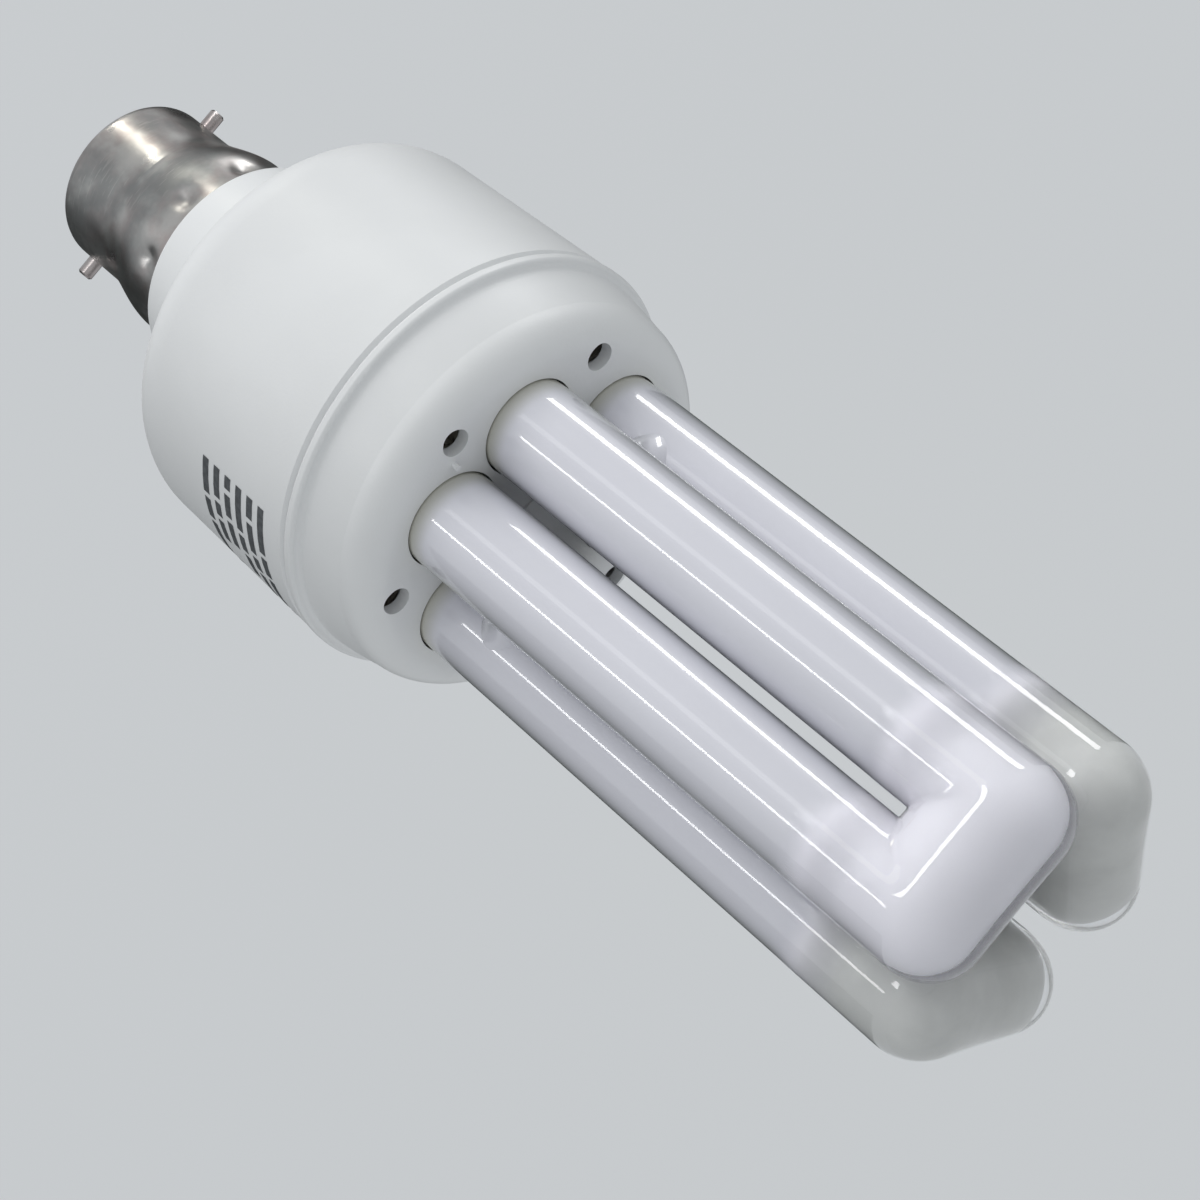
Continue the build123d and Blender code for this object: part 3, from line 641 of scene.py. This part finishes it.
def put_group(material, group, **values):
    """Places a shader group in a material with its own values."""
    node = material.node_tree.nodes.new("ShaderNodeGroup")
    node.node_tree = bpy.data.node_groups[group]
    for name, value in values.items():
        feed(material.node_tree, node.inputs[name], value)
    return node


def new_material(name, **values):
    """A material with one Principled shader, its uniform values set on the sockets."""
    material = bpy.data.materials.new(name)
    material.use_nodes = True
    shader = material.node_tree.nodes["Principled BSDF"]
    for label, value in values.items():
        feed(material.node_tree, shader.inputs[label.replace("_", " ")], value)
    return material, shader


def bump(material, shader, height, depth):
    """Adds a bump of the given depth under a shader."""
    tree = material.node_tree
    node = tree.nodes.new("ShaderNodeBump")
    feed(tree, node.inputs["Distance"], depth)
    feed(tree, node.inputs["Height"], height)
    feed(tree, shader.inputs["Normal"], node.outputs["Normal"])


def plain_finish(name, colour, stain, roughness, metallic=0.0, coat=0.0, scale=250.0, grain=1500.0,
                 depth=0.01 * MM):
    """A finish with soft stains and a fine grain."""
    material, shader = new_material(name, Metallic=metallic, Coat_Weight=coat)
    tree = material.node_tree
    mottle = put_group(material, "mottle", Colour=colour, Stain=stain, Scale=scale, Amount=0.5)
    grained = put_group(material, "grain", Scale=grain, Roughness=roughness, Spread=0.12)
    feed(tree, shader.inputs["Base Color"], mottle.outputs["Colour"])
    feed(tree, shader.inputs["Roughness"], grained.outputs["Roughness"])
    bump(material, shader, grained.outputs["Height"], depth)
    return material


def dress(material, *nodes):
    """Gives CAD nodes their finish."""
    for node in nodes:
        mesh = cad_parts[node].data
        mesh.materials.clear()
        mesh.materials.append(material)


def toned(colour, share):
    """A colour at a share of its brightness."""
    return tuple(value * share for value in colour)


# Operators


class BULB_OT_groups(bpy.types.Operator):
    """Makes the shader groups that several finishes share"""

    bl_idname = "bulb.groups"
    bl_label = "Shader groups"

    def execute(self, context):
        mottle_group()
        grain_group()
        scratch_group()
        return {"FINISHED"}


class BULB_OT_cap(bpy.types.Operator):
    """Builds the metal cap and finishes its pins, its insulator and its contacts"""

    bl_idname = "bulb.cap"
    bl_label = "Cap"

    # Colour and stain of each small part's finish
    pin_colours = ((0.50, 0.46, 0.45), (0.24, 0.23, 0.23))
    insulator_colours = ((0.012, 0.012, 0.014), (0.03, 0.03, 0.035))
    solder_colours = ((0.42, 0.42, 0.43), (0.28, 0.28, 0.29))
    brass_colours = ((0.60, 0.44, 0.18), (0.40, 0.28, 0.12))
    scratch_colour = (0.78, 0.76, 0.70)

    # Directions of the dents and of the crease, and half the crease's width round the cap
    dent_turns = tuple(math.radians(20.0 + 40.0 * index) for index in range(9))
    crease_turn = math.radians(-98.0)
    crease_spread = math.radians(16.0)

    rim_steps = 8
    wall_steps = 84
    around = 252

    def execute(self, context):
        metal = settings().metal
        mesh = self.cap_mesh(metal)
        mesh.materials.append(self.plated(
            "cap_plating", metal.cap_colour, metal.tarnish_colour, metal.blush_colour, roughness=0.33))
        new_piece("cap_skin", mesh, "cap_metal", "cap_shell")
        pin = self.plated("pin_plating", *self.pin_colours, metal.blush_colour, roughness=0.30)
        dress(pin, "bayonet_pin_a", "bayonet_pin_b")
        insulator = plain_finish("black_glass", *self.insulator_colours, roughness=0.12, coat=0.6,
                                 grain=600.0, depth=0.004 * MM)
        dress(insulator, "cap_insulator")
        solder = plain_finish("solder", *self.solder_colours, roughness=0.42, metallic=1.0,
                              grain=900.0, depth=0.03 * MM)
        dress(solder, "contact_solder_a", "contact_solder_b")
        brass = plain_finish("contact_brass", *self.brass_colours, roughness=0.32, metallic=1.0)
        dress(brass, "contact_a", "contact_b", "wrap_pin_1", "wrap_pin_2", "wrap_pin_3", "wrap_pin_4")
        return {"FINISHED"}

    def cap_mesh(self, metal):
        """Drawn sheet-metal cap with a soft flare, a short crease and a ring of crimp dents."""
        length = CAP_HIGH.z - CAP_LOW.z
        corner = metal.barrel_radius - metal.rim_round
        outside = [(metal.mouth_radius, 0.0)]
        for step in range(self.rim_steps + 1):
            angle = math.pi / 2 * step / self.rim_steps
            radius = corner + metal.rim_round * math.sin(angle)
            outside.append((radius, metal.rim_round * (1 - math.cos(angle))))
        for step in range(1, self.wall_steps + 1):
            up = metal.rim_round + (length - metal.rim_round) * step / self.wall_steps
            outside.append((self.cap_radius(metal, up), up))
        inside = [(radius - metal.wall, max(up, metal.wall)) for radius, up in outside[::-1]]
        inside[-1] = (metal.mouth_radius, metal.wall)
        rings = []
        for radius, up in outside + inside:
            ring = []
            for index in range(self.around):
                turn = 2 * math.pi * index / self.around
                reach = radius - self.cap_dip(metal, turn, up, length)
                ring.append(Vector((reach * math.cos(turn), reach * math.sin(turn), CAP_LOW.z + up)))
            rings.append(ring)
        builder = bmesh.new()
        rows = skin(builder, rings)
        band(builder, rows[-1], rows[0])
        return smooth_mesh(builder, "cap_skin")

    def cap_radius(self, metal, up):
        """Outer radius of the cap at a height above its rim."""
        share = ease((up - metal.flare_start) / (metal.flare_end - metal.flare_start))
        return metal.barrel_radius + (CAP_HIGH.x - metal.barrel_radius) * share

    def apart(self, turn, mark):
        """How far one direction is turned from another, either way round."""
        return (turn - mark + math.pi) % (2 * math.pi) - math.pi

    def cap_dip(self, metal, turn, up, length):
        """How far the surface is pressed in by the dents and the crease."""
        dip = 0.0
        # Further down the dents have faded out
        if up > length - 3 * metal.dent_level:
            along = up - (length - metal.dent_level)
            for dent in self.dent_turns:
                across = self.apart(turn, dent) * CAP_HIGH.x
                dip += metal.dent_depth * math.exp(-(across ** 2 + along ** 2) / metal.dent_radius ** 2)
        line = math.exp(-((up - metal.crease_level) / metal.crease_width) ** 2)
        fade = math.exp(-(self.apart(turn, self.crease_turn) / self.crease_spread) ** 4)
        return dip + metal.crease_depth * line * fade

    def plated(self, name, colour, stain, blush, roughness):
        """Dull plating with stains, pinkish patches, a fine grain and scratches."""
        material, shader = new_material(name, Metallic=1.0)
        tree = material.node_tree
        patches = put_group(material, "mottle", Colour=colour, Stain=blush, Scale=230.0, Amount=0.8)
        mottle = put_group(material, "mottle", Colour=patches.outputs["Colour"], Stain=stain, Scale=110.0,
                           Amount=0.8)
        grained = put_group(material, "grain", Scale=700.0, Roughness=roughness, Spread=0.25)
        scratches = put_group(material, "scratches", Cover=0.12).outputs["Mask"]
        brighter = mix_colour(tree, scratches, mottle.outputs["Colour"], self.scratch_colour)
        feed(tree, shader.inputs["Base Color"], brighter)
        polish = math_node(tree, "MULTIPLY", scratches, 0.12)
        dulling = math_node(tree, "MULTIPLY", mottle.outputs["Mask"], 0.10)
        worn = math_node(tree, "SUBTRACT", grained.outputs["Roughness"], polish)
        feed(tree, shader.inputs["Roughness"], math_node(tree, "ADD", worn, dulling))
        height = math_node(tree, "SUBTRACT", grained.outputs["Height"], scratches)
        bump(material, shader, height, depth=0.012 * MM)
        return material


class BULB_OT_housings(bpy.types.Operator):
    """Finishes the two white housings"""

    bl_idname = "bulb.housings"
    bl_label = "Housings"

    def execute(self, context):
        colour = settings().plastic.housing_colour
        moulding = plain_finish("white_moulding", colour, toned(colour, 0.93), roughness=0.46,
                                scale=45.0, grain=2600.0, depth=0.012 * MM)
        dress(moulding, "upper_housing", "lower_housing")
        return {"FINISHED"}


class BULB_OT_print(bpy.types.Operator):
    """Prints six lines of plain dashes on the upper housing"""

    bl_idname = "bulb.print"
    bl_label = "Print"

    # Lengths of the dashes in each line, in millimetres, from the lowest line up
    lines = (
        (5.2, 3.4, 6.0, 2.6, 5.4), (4.4, 2.2, 3.6), (1.8, 3.4, 4.2), (6.4, 2.8, 3.8),
        (3.0, 4.6, 2.4, 5.0), (6.8, 3.2, 5.6, 2.4, 4.8),
    )

    def execute(self, context):
        plastic = settings().plastic
        tree = surface_of(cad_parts["upper_housing"].data)
        builder = bmesh.new()
        for row, dashes in enumerate(self.lines):
            level = plastic.print_level + row * plastic.line_pitch
            angle = plastic.print_start
            for length in dashes:
                add_dash(builder, tree, level, angle, length * MM, plastic.dash_height)
                angle += (length * MM + plastic.dash_gap) / BALLAST_HIGH.x
        mesh = smooth_mesh(builder, "print_dashes")
        mesh.materials.append(plain_finish(
            "ink", plastic.ink_colour, toned(plastic.ink_colour, 1.9), roughness=0.5, scale=1500.0,
            grain=5000.0, depth=0.003 * MM))
        new_piece("print_dashes", mesh, "white_plastic")
        return {"FINISHED"}


class BULB_OT_glass(bpy.types.Operator):
    """Builds the three bent tubes, their two bridges and the clear glass of the bends"""

    bl_idname = "bulb.glass"
    bl_label = "Glass"

    clear_stain = (0.925, 0.93, 0.94)

    def execute(self, context):
        glass = settings().glass
        insets = (glass.front_inset, glass.back_inset, glass.back_inset)
        swells = (glass.front_swell, glass.back_swell, glass.back_swell)
        builder = bmesh.new()
        for turn, inset, swell in zip(TUBE_TURNS, insets, swells):
            add_bent_tube(builder, glass, turn, inset, swell)
        front_left, front_right, right_near, _, _, left_near = leg_axes(glass)
        add_bridge(builder, glass, front_right, right_near)
        add_bridge(builder, glass, front_left, left_near)
        tubes = smooth_mesh(builder, "glass_tubes")
        self.mark_bends(tubes, glass)
        tubes.materials.append(self.coated_glass(glass))
        new_piece("glass_tubes", tubes, "coated_glass", "discharge_tube")
        builder = bmesh.new()
        for turn, swell in zip(TUBE_TURNS, swells):
            add_clear_bend(builder, glass, turn, swell)
        bends = smooth_mesh(builder, "clear_bends")
        self.mark_bends(bends, glass)
        bends.materials.append(self.clear_glass(glass))
        new_piece("clear_bends", bends, "coated_glass")
        return {"FINISHED"}

    def mark_bends(self, mesh, glass):
        """Stores how far each point lies in a bend, and how far in a back bend."""
        sunk = mesh.attributes.new("sunk", "FLOAT", "POINT")
        back = mesh.attributes.new("back", "FLOAT", "POINT")
        front_limit = -glass.leg_circle / 2
        for vertex in mesh.vertices:
            share = bend_share(glass, vertex.co.z)
            sunk.data[vertex.index].value = share
            back.data[vertex.index].value = share ** 2 if vertex.co.y > front_limit else 0.0

    def attribute(self, tree, name):
        """A value stored on the mesh."""
        node = tree.nodes.new("ShaderNodeAttribute")
        node.attribute_name = name
        return node.outputs["Fac"]

    def covered(self, tree, glass):
        """How far the clear glass has taken over the gloss: 0 on the legs, 1 in the bends."""
        return ramp(tree, self.attribute(tree, "sunk"), low=TAKEOVER_START, high=glass.takeover)

    def coated_glass(self, glass):
        """Clear gloss over a soft white coat, with painted shade that greys it towards the limbs."""
        material, shader = new_material(
            "coated_glass", Coat_Roughness=GLASS_SHEEN, Coat_IOR=1.55, IOR=1.45)
        tree = material.node_tree
        legs = put_group(material, "mottle", Colour=glass.coat_colour,
                         Stain=toned(glass.coat_colour, 0.95), Scale=35.0, Amount=0.6)
        bend = put_group(material, "mottle", Colour=glass.bend_colour,
                         Stain=toned(glass.bend_colour, 0.86), Scale=120.0, Amount=0.8)
        # Painted shade: the coat greys towards the limbs, by how far each point faces away from view
        facing = tree.nodes.new("ShaderNodeLayerWeight")
        feed(tree, facing.inputs["Blend"], 0.35)
        edge = ramp(tree, facing.outputs["Facing"], low=0.32, high=1.0)
        limb_shaded = mix_colour(tree, edge, legs.outputs["Colour"], glass.limb_shade_colour)
        back = self.attribute(tree, "back")
        # Painted light in the front bend, whose coat is brightened; the back bends keep their own coat
        # colour
        lit_front_and_back_coat = mix_colour(tree, back, glass.front_lit_colour, bend.outputs["Colour"])
        covered = self.covered(tree, glass)
        whole = mix_colour(tree, math_node(tree, "MULTIPLY", covered, covered), limb_shaded, lit_front_and_back_coat)
        place = tree.nodes.new("ShaderNodeTexCoord")
        level = tree.nodes.new("ShaderNodeSeparateXYZ")
        feed(tree, level.inputs["Vector"], place.outputs["Object"])
        root = ramp(tree, level.outputs["Z"], low=FACE_LEVEL + glass.root_length, high=FACE_LEVEL)
        rooted = mix_colour(tree, root, whole, glass.root_colour)
        feed(tree, shader.inputs["Base Color"], rooted)
        feed(tree, shader.inputs["Coat Weight"], math_node(tree, "SUBTRACT", 1.0, covered))
        grained = put_group(material, "grain", Scale=60.0, Roughness=0.35, Spread=0.1)
        feed(tree, shader.inputs["Roughness"], grained.outputs["Roughness"])
        return material

    def clear_glass(self, glass):
        """Almost colourless glass with soft ripples from the bending, faded in over the coat."""
        material, shader = new_material(
            "clear_glass", Transmission_Weight=1.0, IOR=1.33, Coat_Weight=0.5,
            Coat_Roughness=GLASS_SHEEN)
        tree = material.node_tree
        mottle = put_group(material, "mottle", Colour=glass.clear_colour, Stain=self.clear_stain,
                           Scale=90.0, Amount=0.5)
        feed(tree, shader.inputs["Base Color"], mottle.outputs["Colour"])
        grained = put_group(material, "grain", Scale=140.0, Roughness=0.012, Spread=0.02)
        feed(tree, shader.inputs["Roughness"], grained.outputs["Roughness"])
        bump(material, shader, grained.outputs["Height"], depth=0.05 * MM)
        nothing = tree.nodes.new("ShaderNodeBsdfTransparent")
        fade = tree.nodes.new("ShaderNodeMixShader")
        feed(tree, fade.inputs["Fac"], self.covered(tree, glass))
        feed(tree, fade.inputs[1], nothing.outputs["BSDF"])
        feed(tree, fade.inputs[2], shader.outputs["BSDF"])
        feed(tree, tree.nodes["Material Output"].inputs["Surface"], fade.outputs["Shader"])
        return material


class BULB_OT_inside(bpy.types.Operator):
    """Finishes the cement, the board and the parts on it, which the housings hide"""

    bl_idname = "bulb.inside"
    bl_label = "Inside"

    def execute(self, context):
        # Colour, stain, roughness, metallic and nodes of each finish
        finishes = {
            "cement": ((0.62, 0.58, 0.50), (0.52, 0.48, 0.41), 0.85, 0.0, ["tube_cement"]),
            "board_laminate": ((0.36, 0.20, 0.06), (0.30, 0.16, 0.05), 0.55, 0.0, ["circuit_board"]),
            "can_sleeve": ((0.02, 0.02, 0.025), (0.03, 0.03, 0.04), 0.30, 0.0, ["smoothing_capacitor"]),
            "ferrite": ((0.035, 0.035, 0.04), (0.06, 0.06, 0.06), 0.65, 0.0,
                        ["choke_core_a", "choke_core_b", "drive_core", "filter_core"]),
            "bobbin": ((0.02, 0.02, 0.02), (0.03, 0.03, 0.03), 0.50, 0.0, ["choke_bobbin"]),
            "enamelled_copper": ((0.50, 0.16, 0.05), (0.36, 0.10, 0.03), 0.35, 1.0,
                                 ["choke_winding", "filter_winding", "drive_winding_1",
                                  "drive_winding_2", "drive_winding_3"]),
            "epoxy": ((0.02, 0.02, 0.022), (0.03, 0.03, 0.032), 0.55, 0.0,
                      ["transistor_a", "transistor_b", "rectifier_diode_1", "rectifier_diode_2",
                       "rectifier_diode_3", "rectifier_diode_4"]),
            "diode_bead": ((0.02, 0.06, 0.20), (0.10, 0.04, 0.02), 0.15, 0.0, ["trigger_diode"]),
            "dipped_coat": ((0.35, 0.07, 0.02), (0.28, 0.05, 0.02), 0.25, 0.0,
                            ["starting_capacitor", "blocking_capacitor"]),
            "lacquer": ((0.52, 0.38, 0.20), (0.44, 0.31, 0.16), 0.35, 0.0,
                        ["base_resistor_a", "base_resistor_b", "start_resistor"]),
            "thermistor_coat": ((0.02, 0.04, 0.12), (0.03, 0.05, 0.14), 0.45, 0.0, ["thermistor"]),
            "bare_wire": ((0.55, 0.55, 0.56), (0.40, 0.40, 0.41), 0.30, 1.0,
                          ["filament_lead_1", "filament_lead_2", "filament_lead_3", "filament_lead_4"]),
            "wire_cover": ((0.62, 0.62, 0.60), (0.54, 0.54, 0.52), 0.50, 0.0,
                           ["mains_lead_a", "mains_lead_b"]),
        }
        for name, (colour, stain, roughness, metallic, nodes) in finishes.items():
            dress(plain_finish(name, colour, stain, roughness, metallic), *nodes)
        return {"FINISHED"}


class BULB_OT_stage(bpy.types.Operator):
    """Places the camera, the floor, the screen and the lights"""

    bl_idname = "bulb.stage"
    bl_label = "Stage"

    # In millimetres the sensor, in degrees where the screen starts, all other sizes in metres.
    # The foot of the screen is measured from the floor, and the soft lights face the aim level.
    sensor_width = 36.0
    floor_radius = 12.0
    screen_radius = 0.42
    screen_foot = 0.02
    screen_head = -0.01
    screen_start = -12.0
    aim_level = 0.09
    sky_colour = (0.95, 0.98, 1.0)

    # Each strip: its name, direction in degrees, level, width, height, share of the glow and colour
    strips = (
        ("strip_main", -166.0, -0.085, 0.060, 0.22, 0.9, (1.0, 1.0, 1.0)),
        ("strip_faint", -98.0, -0.085, 0.060, 0.22, 0.10, (1.0, 1.0, 1.0)),
        ("strip_thin", -62.0, -0.095, 0.024, 0.22, 0.9, (1.0, 1.0, 1.0)),
        ("strip_cap", -136.5, -0.43, 0.045, 0.32, 1.0, (1.0, 0.97, 0.86)),
        ("bar_bend", -91.0, 0.028, 0.090, 0.030, 1.0, (1.0, 1.0, 1.0)),
    )

    def execute(self, context):
        stage = settings().stage
        self.place_camera(stage)
        self.lay_floor(stage)
        self.raise_screen(stage)
        self.light_world(stage)
        self.add_lights(stage)
        context.scene.view_settings.view_transform = "Standard"
        return {"FINISHED"}

    def place_camera(self, stage):
        """A camera at the photograph's viewing angle."""
        data = bpy.data.cameras.new("camera")
        data.sensor_fit = "HORIZONTAL"
        data.sensor_width = self.sensor_width
        data.lens = stage.camera_lens
        data.clip_start = 0.01
        camera = add_object("camera", data)
        place = Vector(stage.camera_place)
        ahead = (Vector(stage.camera_aim) - place).normalized()
        right = ahead.cross(Vector((0, 0, 1))).normalized()
        up = right.cross(ahead)
        level = Matrix((right, up, -ahead)).transposed()
        turned = level @ Matrix.Rotation(stage.camera_roll, 3, "Z")
        camera.matrix_world = Matrix.Translation(place) @ turned.to_4x4()
        bpy.context.scene.camera = camera

    def lay_floor(self, stage):
        """A wide plain floor below the lamp."""
        builder = bmesh.new()
        bmesh.ops.create_circle(builder, cap_ends=True, segments=96, radius=self.floor_radius)
        floor = add_object("floor", flat_mesh(builder, "floor"))
        floor.location.z = stage.floor_level
        material, shader = new_material(
            "floor_paint", Base_Color=stage.floor_colour, Roughness=0.9, Specular_IOR_Level=0.1,
            Emission_Color=stage.floor_glow)
        tree = material.node_tree
        path = tree.nodes.new("ShaderNodeLightPath").outputs
        seen = math_node(tree, "ADD", path["Is Camera Ray"], path["Is Glossy Ray"])
        seen = math_node(tree, "ADD", seen, path["Is Transmission Ray"])
        feed(tree, shader.inputs["Emission Strength"], math_node(tree, "MINIMUM", seen, 1.0))
        floor.data.materials.append(material)

    def raise_screen(self, stage):
        """A dark screen round the lamp's far side, seen only as a reflection in gloss and metal."""
        steps = 32
        radius = self.screen_radius
        rows = []
        for level in (stage.floor_level + self.screen_foot, self.screen_head):
            row = []
            for step in range(steps + 1):
                angle = math.radians(self.screen_start + 180 * step / steps)
                row.append(Vector((radius * math.cos(angle), radius * math.sin(angle), level)))
            rows.append(row)
        builder = bmesh.new()
        skin(builder, rows, closed=False)
        screen = add_object("screen", flat_mesh(builder, "screen"))
        material, _ = new_material(
            "screen_cloth", Base_Color=stage.screen_colour, Roughness=1.0, Specular_IOR_Level=0.0)
        screen.data.materials.append(material)
        for ray in ("camera", "diffuse", "transmission", "shadow"):
            setattr(screen, f"visible_{ray}", False)

    def light_world(self, stage):
        """Even pale light from all sides."""
        world = bpy.data.worlds.new("studio")
        world.use_nodes = True
        background = world.node_tree.nodes["Background"]
        feed(world.node_tree, background.inputs["Color"], self.sky_colour)
        feed(world.node_tree, background.inputs["Strength"], stage.fill_strength)
        bpy.context.scene.world = world

    def add_lights(self, stage):
        """Three broad soft lights, and strips that only draw lines in the gloss and the metal."""
        for name, place, width, power in (
            ("key", (-0.30, -0.74, -0.48), 0.9, stage.key_power),
            ("side", (0.80, -0.35, -0.30), 0.9, stage.side_power),
            ("under", (-0.20, -0.25, -0.75), 0.6, stage.under_power),
        ):
            self.area_light(name, place, (width, width), power, glossy=False)
        for name, azimuth, level, width, height, share, colour in self.strips:
            angle = math.radians(azimuth)
            reach = stage.strip_distance
            place = (reach * math.cos(angle), reach * math.sin(angle), level)
            power = stage.strip_glow * share * math.pi * width * height
            strip = self.area_light(name, place, (width, height), power, upright=True)
            strip.data.color = colour
            strip.visible_diffuse = False

    def area_light(self, name, place, size, power, glossy=True, upright=False):
        """An area light that faces the lamp, or its axis at the light's own level if upright."""
        data = bpy.data.lights.new(name, "AREA")
        data.shape = "RECTANGLE"
        data.size, data.size_y = size
        data.energy = power
        light = add_object(name, data)
        centre = Vector((0, 0, place[2] if upright else self.aim_level))
        light.location = place
        light.rotation_euler = (centre - Vector(place)).to_track_quat("-Z", "Y").to_euler()
        light.visible_camera = False
        light.visible_glossy = glossy
        return light


STEPS = ("groups", "cap", "housings", "print", "glass", "inside", "stage")


class BULB_PT_panel(bpy.types.Panel):
    """Lists the bulb's values and steps"""

    bl_idname = "BULB_PT_panel"
    bl_label = "Bulb"
    bl_space_type = "VIEW_3D"
    bl_region_type = "UI"
    bl_category = "Bulb"

    def draw(self, context):
        bulb = context.scene.bulb
        for part in ("glass", "plastic", "metal", "stage"):
            box = self.layout.box()
            group = getattr(bulb, part)
            for name in group.bl_rna.properties.keys():
                if name not in ("rna_type", "name"):
                    box.prop(group, name)
        for step in STEPS:
            self.layout.operator(f"bulb.{step}")


CLASSES = (
    BulbGlass, BulbPlastic, BulbMetal, BulbStage, BulbSettings,
    BULB_OT_groups, BULB_OT_cap, BULB_OT_housings, BULB_OT_print, BULB_OT_glass, BULB_OT_inside,
    BULB_OT_stage,
    BULB_PT_panel,
)


def register():
    """Registers the classes and hangs the values on the scene."""
    for item in CLASSES:
        bpy.utils.register_class(item)
    bpy.types.Scene.bulb = PointerProperty(type=BulbSettings)


def unregister():
    """Takes the values and the classes away again."""
    del bpy.types.Scene.bulb
    for item in reversed(CLASSES):
        bpy.utils.unregister_class(item)


def main():
    """Builds the whole lamp."""
    register()
    for step in STEPS:
        getattr(bpy.ops.bulb, step)()


if __name__ == "__main__":
    main()
